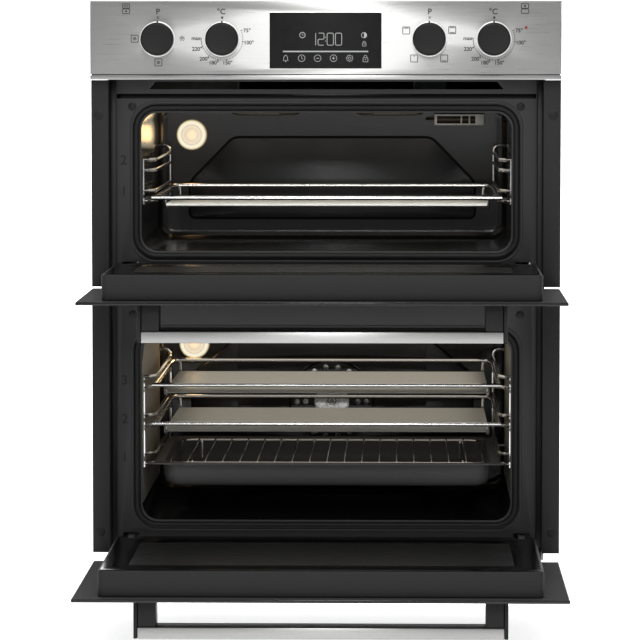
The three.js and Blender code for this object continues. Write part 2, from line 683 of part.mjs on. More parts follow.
// ---------------------------------------------------------------- doors
/** Inner pan of a door: hollow frame around the window, with a pocket and pin for each hinge arm. */
function doorPanel({ low, high, hinge, window }) {
  const front = DOOR_GLASS_FACE + GLASS + GAP;
  const back = DOOR_GLASS_FACE + GLASS + PANEL_DEPTH;
  const bottom = low + PANEL_MARGIN.bottom;
  const top = high - PANEL_MARGIN.top;
  const [winLow, winHigh] = window;
  const wall = 1.5;
  const winHalf = WINDOW_HALF;
  const outer = block([-PANEL_HALF, PANEL_HALF], [front, back], [bottom, top]);
  const hollow = cut(
    block([wall - PANEL_HALF, PANEL_HALF - wall], [front - 5, back - 2], [bottom + wall, top - wall]),
    block([-winHalf - wall, winHalf + wall], [front - 10, back], [winLow - wall, winHigh + wall]),
  );
  const sight = block([-winHalf, winHalf], [front - 10, back + 10], [winLow, winHigh]);
  const rebate = slab([-winHalf - REBATE, winHalf + REBATE], [back - GLASS - GAP, back + 5],
    [winLow - REBATE, winHigh + REBATE], 8, 3);
  const ledge = cut(
    block([-winHalf - 9, winHalf + 9], [back - GLASS - 2, back], [winLow - 9, winHigh + 9]),
    block([-winHalf, winHalf], [front, back + 5], [winLow, winHigh]),
  );
  const cheeks = [];
  const pockets = [];
  for (const [, sign] of SIDES) {
    for (const near of [HINGE_X - 11, HINGE_X + 9]) {
      cheeks.push(block(onSide(sign, near, near + 2), [front, back - 1], [bottom, hinge.z + 24]));
    }
    pockets.push(block(onSide(sign, HINGE_X - 9, HINGE_X + 9), [front + 4, back + 5],
      [bottom - 5, hinge.z + 22]));
  }
  const pins = SIDES.map(([, sign]) => {
    const [x0, x1] = onSide(sign, HINGE_X - 10, HINGE_X + 10);
    return bar([x0, hinge.y, hinge.z], [x1, hinge.y, hinge.z], PIN, 16);
  });
  return join(cut(join(cut(outer, hollow), ledge, cheeks), sight, rebate, pockets), pins);
}

/** Fixed hinge arm: an eye around the door's pin, and a claw through the frame's slot. */
function hingeArm({ hinge }, sign) {
  const xs = onSide(sign, HINGE_X - 4, HINGE_X + 4);
  const eye = bar([xs[0], 0, 0], [xs[1], 0, 0], 6.5, 16);
  const arm = section([
    [0, -6], [8, -5], [36, 8], [70, 8], [70, 18], [30, 18], [0, 6],
  ], xs);
  const bore = bar([xs[0] - 5, 0, 0], [xs[1] + 5, 0, 0], PIN + GAP, 16);
  const body = cut(join(eye, arm), bore);
  return body.translate([0, hinge.y, hinge.z]);
}

/** One drop-down door: outer glass, hollow panel, inner glass, and a bar handle on two posts. */
function door(name, spec) {
  const { low, high, hinge, window } = spec;
  const leaf = new THREE.Group();
  leaf.position.set(0, hinge.y, hinge.z);
  leaf.rotation.x = Math.PI / 2;
  oven.add(leaf);
  const closed = new THREE.Group();
  closed.position.set(0, -hinge.y, -hinge.z);
  leaf.add(closed);

  const half = FRONT_WIDTH / 2;
  const inner = DOOR_GLASS_FACE + GLASS;
  piece(`${name}_door_outer_glass`, slab([-half, half], [DOOR_GLASS_FACE, inner], [low, high], 3, 3),
    BLACK_GLASS, closed);
  piece(`${name}_door_panel`, doorPanel(spec), BLACK_STEEL, closed);
  const back = inner + PANEL_DEPTH;
  const seat = REBATE - GAP;
  piece(`${name}_door_inner_glass`, slab([-WINDOW_HALF - seat, WINDOW_HALF + seat], [back - GLASS, back],
    [window[0] - seat, window[1] + seat], 8, 3), BLACK_GLASS, closed);

  const handleTop = high - HANDLE.below;
  const zs = [handleTop - HANDLE.height, handleTop];
  const face = DOOR_GLASS_FACE - HANDLE.reach;
  const barBack = face + HANDLE.depth;
  piece(`${name}_door_handle_bar`, slab([-HANDLE.half, HANDLE.half], [face, barBack], zs, 2, 2),
    STAINLESS, closed);
  for (const [side, sign] of SIDES) {
    const tip = HANDLE.half + GAP;
    const post = block(onSide(sign, tip - HANDLE.post, tip + HANDLE.cap),
      [barBack + GAP, DOOR_GLASS_FACE - GAP], [zs[0] + 1, zs[1] - 1]);
    const cap = block(onSide(sign, tip, tip + HANDLE.cap), [face, barBack + 2], [zs[0] + 1, zs[1] - 1]);
    piece(`${name}_door_post_${side}`, join(post, cap), BLACK_PLASTIC, closed);
    piece(`${name}_door_hinge_${side}`, hingeArm(spec, sign), GALVANISED);
  }
}

// ---------------------------------------------------------------- services
/** Cross-flow cooling blower over the upper cavity; its outlet faces the slot under the fascia. */
function coolingBlower() {
  const { half, y, z, wheel, blades } = BLOWER;
  const place = new THREE.Group();
  place.position.set(0, y, z);
  oven.add(place);

  const parts = [bar([-half - 13, 0, 0], [half + 13, 0, 0], PIN, 12)];
  for (const x of [-half, half - 2]) parts.push(bar([x, 0, 0], [x + 2, 0, 0], wheel, 24));
  const blade = new THREE.BoxGeometry(2 * half - 2, 1.2, 7);
  for (let i = 0; i < blades; i++) {
    const vane = blade.clone().rotateX(0.6).translate(0, 0, wheel - 5);
    parts.push(solid(vane.rotateX((2 * Math.PI * i) / blades)));
  }
  piece('cooling_fan_wheel', join(parts), GALVANISED, place);

  const outline = (grow) => [
    [-78 + grow, -45 - grow], [-78 + grow, -32 + grow], [-34 - grow, -22 + grow], [-30 - grow, 24 + grow],
    [-12, 36 + grow], [20, 36 + grow], [34 + grow, 20], [34 + grow, -30], [10, -45 - grow],
  ];
  const width = half + 6;
  const shell = section(outline(SHEET), [-width - SHEET, width + SHEET]);
  const inside = section(outline(0), [-width, width]);
  const mouth = block([-width, width], [-90, -70], [-45, -32]);
  const inlet = block([-width + 10, width - 10], [20, 60], [-24, 14]);
  const shaftHoles = bar([-width - 5, 0, 0], [width + 5, 0, 0], PIN + 1, 12);
  const motorShell = cut(bar([width, 0, 0], [width + 36, 0, 0], 22, 16),
    bar([width - 2, 0, 0], [width + 12, 0, 0], PIN + 1, 12));
  const housing = join(cut(shell, inside, mouth, inlet, shaftHoles),
    cut(motorShell, block([0, width + SHEET / 2], [-40, 40], [-40, 40])));
  piece('cooling_fan_housing', cut(housing, shaftHoles), GALVANISED, place);
}

/** Mains terminal block in its window in the rear cover. */
function terminalBlock() {
  const { x, z, half, rise, front, pitch } = TERMINAL;
  const body = block([x - half, x + half], [front, BODY_BACK], [z - rise, z + rise]);
  const cells = [-1, 0, 1].map((i) => block([x + pitch * i - 7, x + pitch * i + 7],
    [BODY_BACK - 12, BODY_BACK + 5], [z - 12, z + 12]));
  piece('terminal_block', cut(body, cells), BLACK_PLASTIC);
}

cabinet();
frontFrame();
trims();
controlFascia();
displayModule();
controls();
upperOven();
lowerOven();
shelvesAndTray();
for (const [name, spec] of Object.entries(DOORS)) door(name, spec);
coolingBlower();
terminalBlock();

export default root;
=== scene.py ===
import math

import bmesh
import bpy
from mathutils import Matrix, Vector


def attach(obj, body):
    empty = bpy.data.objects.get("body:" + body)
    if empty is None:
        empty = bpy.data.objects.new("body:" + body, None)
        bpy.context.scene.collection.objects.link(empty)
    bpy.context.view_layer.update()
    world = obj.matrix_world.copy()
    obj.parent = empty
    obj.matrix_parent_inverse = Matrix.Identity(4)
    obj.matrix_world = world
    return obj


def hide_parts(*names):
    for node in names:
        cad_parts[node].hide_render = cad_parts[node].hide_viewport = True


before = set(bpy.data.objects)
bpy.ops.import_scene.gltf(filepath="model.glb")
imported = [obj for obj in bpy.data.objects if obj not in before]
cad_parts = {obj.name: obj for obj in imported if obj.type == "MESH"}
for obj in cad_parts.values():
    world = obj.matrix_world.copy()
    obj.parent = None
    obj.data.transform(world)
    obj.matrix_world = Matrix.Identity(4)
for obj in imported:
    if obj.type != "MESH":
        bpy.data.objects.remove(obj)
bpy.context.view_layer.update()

bl_info = {
    "name": "Built-under double oven",
    "version": (1, 0, 0),
    "blender": (4, 5, 0),
    "location": "View3D > Sidebar > Oven",
    "description": "Builds the visible pieces of a double oven around its packed frame",
    "category": "Object",
}

# Forms are drawn in millimetres, with y from the back faces of the side trims.
# TO_FRAME turns them into the frame's metres.
TRIMS_BACK = -0.288
TO_FRAME = Matrix.Translation((0, TRIMS_BACK, 0)) @ Matrix.Scale(0.001, 4)
UPRIGHT = Matrix.Rotation(math.pi / 2, 4, "X")  # a plate drawn in x and y stands up in x and z
REARWARD = Matrix.Rotation(-math.pi / 2, 4, "X")  # a form turned about z looks to the rear
ALONG_X = Matrix(((0, 0, 1, 0), (1, 0, 0, 0), (0, 1, 0, 0), (0, 0, 0, 1)))  # y and z run along x
LEFT_RIGHT = (("left", -1), ("right", 1))
QUARTERS = (0, 90, 180, 270)

# The front: fascia, trims and the frame behind them
FRONT_HALF = 297.0
FASCIA_FRONT, FASCIA_TOP, FASCIA_FOOT = -18.0, 715.0, 615.5
LIP_TOP, GROOVE_TOP = 621.2, 622.4
DISPLAY_HALF, DISPLAY_LOW, DISPLAY_HIGH = 70.0, 630.0, 700.0
KEY_ROW = 642.5  # the middle of the display's touch keys
KNOB_HEIGHT = 666.5
KNOBS = {
    "upper_selector": -211.6,
    "upper_thermostat": -130.3,
    "lower_selector": 130.3,
    "lower_thermostat": 211.6,
}
TRIM_INNER, TRIM_SHEET = 275.0, 1.6
TRIM_BREAK = (345.0, 353.0)  # where the open upper door's glass passes
FRAME_FACE, FRAME_SHEET, FRAME_HALF = 28.0, 1.2, 268.0
BACK_OF_FRONT = 27.7  # where the pieces on the front frame end

# The ovens and what stands in them
OPENINGS = {"upper": (397.0, 573.0), "lower": (52.0, 288.0)}
CAVITIES = {"upper": (392.0, 578.0), "lower": (47.0, 293.0)}
BACK_WALL = 444.0
WALL_FACE = 443.7  # where the pieces on the back wall end
RACKS = {"upper": (448.4, 521.5, (458.4, 498.2)), "lower": (108.5, 241.5, (118.5, 168.3, 218.2))}
GUIDE_GAP = 13.3
SHELVES = {"upper_shelf": 458.4, "lower_shelf_top": 218.2, "lower_shelf_middle": 168.3}
TRAY_MIDDLE, GRID_HEIGHT = 217.5, 119.6
LAMPS = {"upper": (-194.0, 535.0), "lower": (-191.0, 246.0)}
FAN_AXIS, FAN_COVER = 168.0, 407.0  # height of the shaft, and the cover's place in y
PROBE_HEIGHT = 556.4

# The doors: drawn closed, then turned about x to lie open at "open", in y and z
DOORS = {
    "upper": {
        "low": 353.5, "high": 611.5, "window": (457.0, 549.0), "pin": (-4.6, 362.1), "open": (357.5, 366.7),
    },
    "lower": {
        "low": 9.0, "high": 344.0, "window": (88.0, 277.0), "pin": (-3.5, 14.5), "open": (11.0, 18.0),
    },
}
WINDOW_HALF, PANE_MIDDLE = 225.0, -18.0
HANDLE_HALF = 219.5
HINGE_SLOT = (241.0, 259.0)


def linear(code):
    """An sRGB hex colour as linear RGBA."""
    parts = [int(code[i : i + 2], 16) / 255 for i in (1, 3, 5)]
    return (*[p / 12.92 if p <= 0.04045 else ((p + 0.055) / 1.055) ** 2.4 for p in parts], 1.0)


# ---------------------------------------------------------------- settings


def colour_prop(name, description, code):
    return bpy.props.FloatVectorProperty(
        name=name, description=description, subtype="COLOR", size=4, min=0, max=1, default=linear(code)
    )


def radius_prop(name, description, default):
    return bpy.props.FloatProperty(
        name=name, description=description, default=default, unit="LENGTH", min=0.001
    )


def count_prop(name, description, default, most):
    return bpy.props.IntProperty(name=name, description=description, default=default, min=4, max=most)


class OvenColours(bpy.types.PropertyGroup):
    """Colours of the oven's finishes."""

    steel: colour_prop("Steel", "Brushed stainless steel of the fascia and handles", "#A8A8A7")
    enamel: colour_prop("Enamel", "Ground coat of the ovens and the front frame", "#1D1D1E")
    paint: colour_prop("Paint", "Black paint of the trims and door bodies", "#202020")
    plastic: colour_prop("Plastic", "Moulded knobs and posts", "#0E0E0E")
    chrome: colour_prop("Chrome", "Plated wires of the racks and shelves", "#EFEEEC")
    ink: colour_prop("Ink", "Screen print on the fascia", "#1C1D1E")
    display: colour_prop("Display", "Lit strokes behind the lens", "#9C9E9C")
    lamp: colour_prop("Lamp", "Light of the oven lamps", "#FFCC86")


class OvenSizes(bpy.types.PropertyGroup):
    """Sizes a user would change."""

    rack_wire: radius_prop("Rack wire", "Radius of a rack wire", 0.0024)
    shelf_rod: radius_prop("Shelf rod", "Radius of a shelf's frame rod", 0.0028)
    deck_wires: count_prop("Deck wires", "Number of cross wires in a shelf", 24, 40)
    grid_wires: count_prop("Grid wires", "Number of wires in the tray's grid", 17, 30)


# ---------------------------------------------------------------- materials


def add(tree, kind, inputs=None, **settings):
    """One node, its settings, and its inputs: a value, or another node's output to link."""
    node = tree.nodes.new(kind)
    for key, value in settings.items():
        setattr(node, key, value)
    for key, value in (inputs or {}).items():
        if isinstance(value, bpy.types.NodeSocket):
            tree.links.new(value, node.inputs[key])
        else:
            node.inputs[key].default_value = value
    return node


def blank(name):
    """A material with an empty tree, and the Object coordinates it reads."""
    look = bpy.data.materials.new(name)
    look.use_nodes = True
    look.node_tree.nodes.clear()
    place = add(look.node_tree, "ShaderNodeTexCoord").outputs["Object"]
    return look, look.node_tree, place


def ramp(tree, factor, stops):
    """A colour ramp over factor with stops of (position, colour)."""
    node = add(tree, "ShaderNodeValToRGB", {"Fac": factor})
    for extra in stops[2:]:
        node.color_ramp.elements.new(extra[0])
    for element, (position, colour) in zip(node.color_ramp.elements, sorted(stops)):
        element.position = position
        element.color = colour
    return node.outputs["Color"]


def shade(colour, factor):
    """A colour made lighter or darker by factor."""
    return (*[min(1.0, c * factor) for c in colour[:3]], 1.0)


def grained(name, base, spread, grain, rough, bump, detail, surface, stretch=(1, 1, 1), tangent=False):
    """A surface whose colour, roughness and height follow one noise.

    grain is the size of its features in mm, spread the share by which the colour varies, rough the least and
    greatest roughness, bump its height in mm, and surface more of the shader's sockets.
    """
    look, tree, place = blank(name)
    scale = tuple(1000 / grain * s for s in stretch)
    mapped = add(tree, "ShaderNodeMapping", {"Vector": place, "Scale": scale}).outputs["Vector"]
    settings = {"Vector": mapped, "Scale": 1.0, "Detail": detail, "Roughness": 0.6}
    height = add(tree, "ShaderNodeTexNoise", settings).outputs["Fac"]
    settings = {"Value": height, "From Min": 0.3, "From Max": 0.7, "To Min": rough[0], "To Max": rough[1]}
    inputs = {
        "Base Color": ramp(tree, height, [(0.3, shade(base, 1 - spread)), (0.7, shade(base, 1 + spread))]),
        "Roughness": add(tree, "ShaderNodeMapRange", settings).outputs["Result"],
        **surface,
    }
    if bump:
        settings = {"Height": height, "Strength": 1.0, "Distance": bump / 1000}
        inputs["Normal"] = add(tree, "ShaderNodeBump", settings).outputs["Normal"]
    if tangent:
        along = add(tree, "ShaderNodeTangent", direction_type="UV_MAP", uv_map="length")
        inputs["Tangent"] = along.outputs["Tangent"]
    shader = add(tree, "ShaderNodeBsdfPrincipled", inputs)
    add(tree, "ShaderNodeOutputMaterial", {"Surface": shader.outputs["BSDF"]})
    return look


METAL = {"Metallic": 1.0}
SPECULAR = "Specular IOR Level"

# Each finish: its material's name, its colour as hex or as one of OvenColours, then what grained() takes
FINISHES = {
    # Stainless steel sheet, belt-brushed along its length: fine streaks that spread highlights across the
    # grain. A real streak is about 0.1 mm wide; it is drawn at 0.7 mm so that it shows.
    "brushed": (
        "stainless_steel_belt_brushed", "steel", 0.03, 0.7, (0.27, 0.33), 0.0001, 2.0,
        {"Metallic": 1.0, "Anisotropic": 0.8, "Anisotropic Rotation": 0.25}, (0.012, 1, 1), True,
    ),
    # Vitreous enamel, fired on steel: glassy black with a slow orange-peel wave about 6 mm long.
    "enamel": (
        "vitreous_enamel_fired", "enamel", 0.08, 6.0, (0.16, 0.24), 0.01, 1.0,
        {"Coat Weight": 0.12, "Coat Roughness": 0.1, SPECULAR: 0.35},
    ),
    # The same enamel in a satin grade on the front frame: broad, soft reflections.
    "satin_enamel": (
        "vitreous_enamel_satin", "enamel", 0.06, 4.0, (0.4, 0.5), 0.006, 2.0, {SPECULAR: 0.45},
    ),
    # The tray's enamel: charcoal, dull and even, painted lighter than the ovens' enamel as painted light
    # for the shade that the open upper door casts into the lower oven.
    "tray_enamel": (
        "vitreous_enamel_low_fired", "#575757", 0.06, 4.0, (0.45, 0.55), 0.006, 2.0, {SPECULAR: 0.3},
    ),
    # Powder coat, baked black: a fine leathery grain about 0.8 mm across.
    "paint": ("powder_coat_baked", "paint", 0.1, 0.8, (0.55, 0.65), 0.004, 3.0, {SPECULAR: 0.25}),
    # Gloss black enamel on the door's inner side: deep black, mirrors the oven's inside.
    # Its near-black also paints shade: the shadow band under the fascia and the groove round the upper back
    # pressing.
    "gloss": ("gloss_enamel_sprayed", "#050505", 0.1, 8.0, (0.14, 0.2), 0.004, 1.0, {SPECULAR: 0.08}),
    # Float glass, printed black on the back: smooth, with a faint unevenness in the print.
    "glass": ("float_glass_printed_black", "#18191A", 0.08, 12.0, (0.12, 0.18), 0.0, 1.0, {SPECULAR: 0.35}),
    # Ceramic frit, screened on the back of the outer pane and fired: matt charcoal, even.
    "frit": ("ceramic_frit_fired", "#3E3E3E", 0.04, 1.5, (0.8, 0.9), 0.0, 1.0, {SPECULAR: 0.05}),
    # Low-emissivity coated glass of the inner pane: a grey, even sheen.
    "coated_glass": (
        "float_glass_heat_coated", "#232323", 0.04, 20.0, (0.3, 0.36), 0.0, 1.0, {SPECULAR: 0.08},
    ),
    # Window of a door: float glass, tinted smoke grey, clear enough to see the shelves through.
    "window": (
        "float_glass_smoke_tint", "#5A5A5A", 0.02, 30.0, (0.01, 0.03), 0.0, 0.0,
        {"Transmission Weight": 0.92, "IOR": 1.5},
    ),
    # Chromium plate over polished steel wire: bright and nearly mirror-like, with slight drawing lines.
    "chrome": ("steel_wire_chromium_plated", "chrome", 0.05, 2.0, (0.1, 0.18), 0.0, 2.0, METAL),
    # The shelves' cross wires: chromium plate over drawn wire that is not polished, a satin grey.
    "satin_wire": ("steel_wire_drawn_plated", "#DCDBD3", 0.05, 2.0, (0.3, 0.4), 0.0, 2.0, METAL),
    # Glass-filled polyamide, spark-eroded mould: satin black with a fine 0.5 mm grain.
    "plastic": ("polyamide_moulded_satin", "plastic", 0.08, 0.5, (0.38, 0.5), 0.003, 2.0, {SPECULAR: 0.25}),
    # Acrylic display lens, back-printed: smooth and dark with a weak reflection.
    "lens": ("acrylic_lens_back_printed", "#101011", 0.04, 10.0, (0.3, 0.36), 0.0, 1.0, {SPECULAR: 0.2}),
    # Satin anodised aluminium ring under each knob: near white, without grain lines.
    "ring": (
        "aluminium_anodised_satin", "#F4F4F2", 0.03, 0.6, (0.3, 0.4), 0.002, 2.0, {"Metallic": 0.25},
    ),
    # Silicone rubber gasket, extruded: dull black with a slight bloom.
    "silicone": ("silicone_rubber_extruded", "#0E0E0E", 0.15, 1.5, (0.5, 0.65), 0.01, 2.0, {SPECULAR: 0.3}),
    # Hot-dip galvanised sheet: large pale spangles about 9 mm across.
    "zinc": ("steel_sheet_hot_dip_galvanised", "#A0A4A6", 0.1, 9.0, (0.32, 0.5), 0.0, 3.0, METAL),
    # Catalytic liner: porous grey enamel, matt, with pits about 1.2 mm apart.
    "liner": ("catalytic_enamel_porous", "#A8A296", 0.2, 1.2, (0.7, 0.9), 0.06, 4.0, {SPECULAR: 0.25}),
    # Heating element sheath: annealed nickel alloy, heat-tinted brown-grey along its length.
    "sheath": ("nickel_alloy_annealed", "#5A5148", 0.25, 7.0, (0.4, 0.6), 0.01, 3.0, {"Metallic": 0.8}),
    # The fan's paddles: aluminised steel, bright-rolled and stamped, paler than the zinc of the casing.
    "fan_steel": ("steel_sheet_aluminised", "#E6E6E3", 0.06, 3.0, (0.2, 0.32), 0.002, 2.0, METAL),
    # The probe's bracket: steatite ceramic, pressed and fired white, with a faint grain.
    "probe": ("steatite_ceramic_pressed", "#F6F4EE", 0.03, 1.0, (0.3, 0.4), 0.001, 2.0, {}),
    # Screen-printing ink, cured: flat dark grey with slight pinholes.
    "ink": ("epoxy_ink_screen_printed", "ink", 0.12, 0.4, (0.5, 0.65), 0.0, 2.0, {}),
    # Display strokes: pale ink lit from behind, a little uneven along each stroke.
    "lit": (
        "display_stroke_backlit", "display", 0.06, 3.0, (0.4, 0.5), 0.0, 1.0,
        {"Emission Color": "display", "Emission Strength": 0.15},
    ),
    # Indicator lens: clear red acrylic, moulded.
    "red": (
        "acrylic_indicator_red", "#7C0606", 0.1, 1.0, (0.15, 0.25), 0.0, 1.0,
        {"Emission Color": "#9A0808", "Emission Strength": 0.1},
    ),
    # Matt emulsion on the studio sweep: white with a faint roller texture about 4 mm apart.
    "studio": (
        "emulsion_rolled_white", "#FBFBFB", 0.004, 4.0, (0.8, 0.9), 0.0, 2.0,
        {"Emission Color": "#FFFFFF", "Emission Strength": 0.75},
    ),
}


def make_looks(colours):
    """Every finish of the oven, by its key in FINISHES."""

    def colour(value):
        return linear(value) if value.startswith("#") else tuple(getattr(colours, value))

    looks = {}
    for key, (name, base, spread, grain, rough, bump, detail, surface, *drawn) in FINISHES.items():
        sockets = {title: colour(v) if isinstance(v, str) else v for title, v in surface.items()}
        looks[key] = grained(name, colour(base), spread, grain, rough, bump, detail, sockets, *drawn)
    for level, (x, z) in LAMPS.items():
        looks["lamp_" + level] = lamp_glass(level, x, z)
    return looks


def lamp_glass(level, x, z):
    """Borosilicate lens, pressed with rings and lit from behind: cream, brightest towards its rim."""
    look, tree, place = blank(f"borosilicate_lens_pressed_{level}")

    def vector(operation, first, second=(0, 0, 0)):
        return add(tree, "ShaderNodeVectorMath", {0: first, 1: second}, operation=operation).outputs

    centred = vector("ADD", place, (-x / 1000, 0, -z / 1000))["Vector"]
    flat = vector("MULTIPLY", centred, (1, 0, 1))["Vector"]
    radius = vector("LENGTH", flat)["Value"]
    share = add(tree, "ShaderNodeMapRange", {"Value": radius, "From Max": 0.022}).outputs["Result"]
    glow = ramp(tree, share, [(position, linear(code)) for position, code in (
        (0.0, "#F1DFC2"), (0.99, "#7E6F50"), (0.35, "#E2D3B9"), (0.55, "#F4E8D0"),
        (0.62, "#DCCCAF"), (0.72, "#FFFBE6"), (0.84, "#FFF3D0"), (0.92, "#A39470"),
    )])
    shader = add(tree, "ShaderNodeBsdfPrincipled", {
        "Base Color": linear("#3A3222"), "Roughness": 0.15, "Emission Color": glow, "Emission Strength": 0.92,
    })
    add(tree, "ShaderNodeOutputMaterial", {"Surface": shader.outputs["BSDF"]})
    return look


# ---------------------------------------------------------------- forms


def absorb(form, other, place=None):
    """Adds another form, moved by place, to form."""
    if place is not None:
        other.transform(place)
    data = bpy.data.meshes.new("part")
    other.to_mesh(data)
    other.free()
    form.from_mesh(data)
    bpy.data.meshes.remove(data)
    return form


def together(*forms):
    """Several forms as one."""
    whole = bmesh.new()
    for form in forms:
        absorb(whole, form)
    return whole


def at(x=0.0, y=0.0, z=0.0):
    return Matrix.Translation((x, y, z))


def brick(low, high, edge=0.0, steps=2):
    """A box between two corners, its edges rounded by edge."""
    form = bmesh.new()
    bmesh.ops.create_cube(form, size=1)
    size = [b - a for a, b in zip(low, high)]
    form.transform(at(*[(b + a) / 2 for a, b in zip(low, high)]) @ Matrix.Diagonal((*size, 1)))
    if edge:
        bmesh.ops.bevel(form, geom=form.edges[:], offset=edge, segments=steps, profile=0.5, affect="EDGES")
    return form


def side_brick(sign, inner, outer, ys, zs, edge=0.0, steps=2):
    """A box on one side of the oven, between two distances from its middle."""
    near, far = sorted((sign * inner, sign * outer))
    return brick((near, ys[0], zs[0]), (far, ys[1], zs[1]), edge, steps)


def from_curve(curve):
    """A curve's surface as a form."""
    holder = bpy.data.objects.new("curve", curve)
    bpy.context.scene.collection.objects.link(holder)
    graph = bpy.context.evaluated_depsgraph_get()
    data = bpy.data.meshes.new_from_object(holder.evaluated_get(graph))
    form = bmesh.new()
    form.from_mesh(data)
    bpy.data.objects.remove(holder)
    bpy.data.curves.remove(curve)
    bpy.data.meshes.remove(data)
    bmesh.ops.remove_doubles(form, verts=form.verts, dist=1e-3)
    return form


def add_paths(curve, paths, closed):
    """Straight-sided splines along paths of 2D or 3D points."""
    for path in paths:
        spline = curve.splines.new("POLY")
        spline.points.add(len(path) - 1)
        for point, co in zip(spline.points, path):
            point.co = (*co, *[0] * (3 - len(co)), 1)
        spline.use_cyclic_u = closed


def plate(outline, thickness, holes=(), edge=0.0, steps=2):
    """A flat plate in x and y with holes, its thickness centred on z = 0 and its edges rounded."""
    curve = bpy.data.curves.new("plate", "CURVE")
    curve.dimensions = "2D"
    curve.fill_mode = "BOTH"
    curve.extrude = thickness / 2 - edge
    curve.bevel_depth = edge
    curve.bevel_resolution = steps
    curve.offset = -edge
    add_paths(curve, [outline, *holes], True)
    return from_curve(curve)


def wires(paths, radius, closed=False, steps=3):
    """Round wires along paths."""
    curve = bpy.data.curves.new("wires", "CURVE")
    curve.dimensions = "3D"
    curve.fill_mode = "FULL"
    curve.bevel_depth = radius
    curve.bevel_resolution = steps
    curve.use_fill_caps = not closed
    add_paths(curve, paths, closed)
    return from_curve(curve)


def bent(points, radius, closed=False, steps=5):
    """A path with its corners rounded off over about radius."""
    points = [Vector(p) for p in points]
    path = []
    for i, corner in enumerate(points):
        if not closed and i in (0, len(points) - 1):
            path.append(corner)
            continue
        before, after = points[i - 1], points[(i + 1) % len(points)]
        reach = min(radius, (before - corner).length * 0.49, (after - corner).length * 0.49)
        start = corner + (before - corner).normalized() * reach
        end = corner + (after - corner).normalized() * reach
        for k in range(steps + 1):
            t = k / steps
            path.append(start * (1 - t) ** 2 + corner * 2 * t * (1 - t) + end * t**2)
    return path


def rounded(x0, x1, y0, y1, radius, steps=8):
    """A rectangle with round corners, anticlockwise, as 2D points."""
    x0, x1, y0, y1 = x0 + radius, x1 - radius, y0 + radius, y1 - radius
    path = []
    for cx, cy, turn in ((x1, y0, -90), (x1, y1, 0), (x0, y1, 90), (x0, y0, 180)):
        for k in range(steps + 1):
            angle = math.radians(turn + 90 * k / steps)
            path.append((cx + radius * math.cos(angle), cy + radius * math.sin(angle)))
    return path


def hoop(half, low, high, radius, level, upright=False):
    """A rectangle with round corners, lying at height level or upright at y = level, as 3D points."""
    corners = rounded(-half, half, low, high, radius)
    return [(x, level, v) if upright else (x, v, level) for x, v in corners]


def circle(x, y, radius, steps=32):
    angles = [math.tau * k / steps for k in range(steps)]
    return [(x + radius * math.cos(a), y + radius * math.sin(a)) for a in angles]


def lathe(profile, steps=48, closed=False):
    """A turned form about z from (radius, height) points. A radius of 0 closes a pole."""
    form = bmesh.new()
    rings = []
    for radius, height in profile:
        points = circle(0, 0, radius, steps) if radius > 1e-6 else [(0, 0)]
        rings.append([form.verts.new((*point, height)) for point in points])
    pairs = list(zip(rings, rings[1:])) + ([(rings[-1], rings[0])] if closed else [])
    for a, b in pairs:
        for k in range(steps):
            n = (k + 1) % steps
            corners = list(dict.fromkeys((a[k % len(a)], a[n % len(a)], b[n % len(b)], b[k % len(b)])))
            if len(corners) > 2:
                form.faces.new(corners)
    return form


def loft(loops, capped=True):
    """A skin through loops that have the same number of points, with its first and last loop filled."""
    form = bmesh.new()
    rings = [[form.verts.new(p) for p in loop] for loop in loops]
    for a, b in zip(rings, rings[1:]):
        for k in range(len(a)):
            n = (k + 1) % len(a)
            form.faces.new((a[k], a[n], b[n], b[k]))
    if capped:
        form.faces.new(rings[0])
        form.faces.new(rings[-1])
    return form


CAPITAL_SHARE = 0.7  # a capital's height as a share of the font's size
INK = 0.06  # thickness of a print


def lettering(words, height, thickness=INK, weight=0.18):
    """A word in x and y, centred, height tall, its strokes fattened by weight."""
    curve = bpy.data.curves.new("word", "FONT")
    curve.body = words
    curve.size = height / CAPITAL_SHARE
    curve.align_x = "CENTER"
    curve.align_y = "CENTER"
    curve.resolution_u = 4
    curve.offset = weight
    curve.extrude = thickness / 2
    return from_curve(curve)


def cut(form, tool):
    """form with tool taken away."""
    objects = []
    for source in (form, tool):
        bmesh.ops.recalc_face_normals(source, faces=source.faces)
        data = bpy.data.meshes.new("cut")
        source.to_mesh(data)
        source.free()
        objects.append(bpy.data.objects.new("cut", data))
        bpy.context.scene.collection.objects.link(objects[-1])
    modifier = objects[0].modifiers.new("cut", "BOOLEAN")
    modifier.object = objects[1]
    modifier.operation = "DIFFERENCE"
    modifier.solver = "EXACT"
    data = bpy.data.meshes.new_from_object(objects[0].evaluated_get(bpy.context.evaluated_depsgraph_get()))
    result = bmesh.new()
    result.from_mesh(data)
    for obj in objects:
        bpy.data.objects.remove(obj)
    bpy.data.meshes.remove(data)
    return result


# ---------------------------------------------------------------- repeating forms


def open_tree(name, sockets):
    """An empty Geometry Nodes tree with a geometry input, the named sockets and a geometry output."""
    tree = bpy.data.node_groups.new(name, "GeometryNodeTree")
    tree.interface.new_socket("Geometry", in_out="INPUT", socket_type="NodeSocketGeometry")
    for title, kind in sockets:
        tree.interface.new_socket(title, in_out="INPUT", socket_type="NodeSocket" + kind)
    tree.interface.new_socket("Geometry", in_out="OUTPUT", socket_type="NodeSocketGeometry")
    return tree, add(tree, "NodeGroupInput").outputs


def close_tree(tree, shape, look):
    """Ends a tree in Realize Instances and Set Material."""
    real = add(tree, "GeometryNodeRealizeInstances", {"Geometry": shape})
    done = add(tree, "GeometryNodeSetMaterial", {"Geometry": real.outputs["Geometry"], "Material": look})
    add(tree, "NodeGroupOutput", {"Geometry": done.outputs["Geometry"]})
    return tree


def instances(tree, points, form, **turn):
    """Copies of a form on points, turned by Rotation if it is given."""
    settings = {"Points": points, "Instance": form, **turn}
    return add(tree, "GeometryNodeInstanceOnPoints", settings).outputs["Instances"]


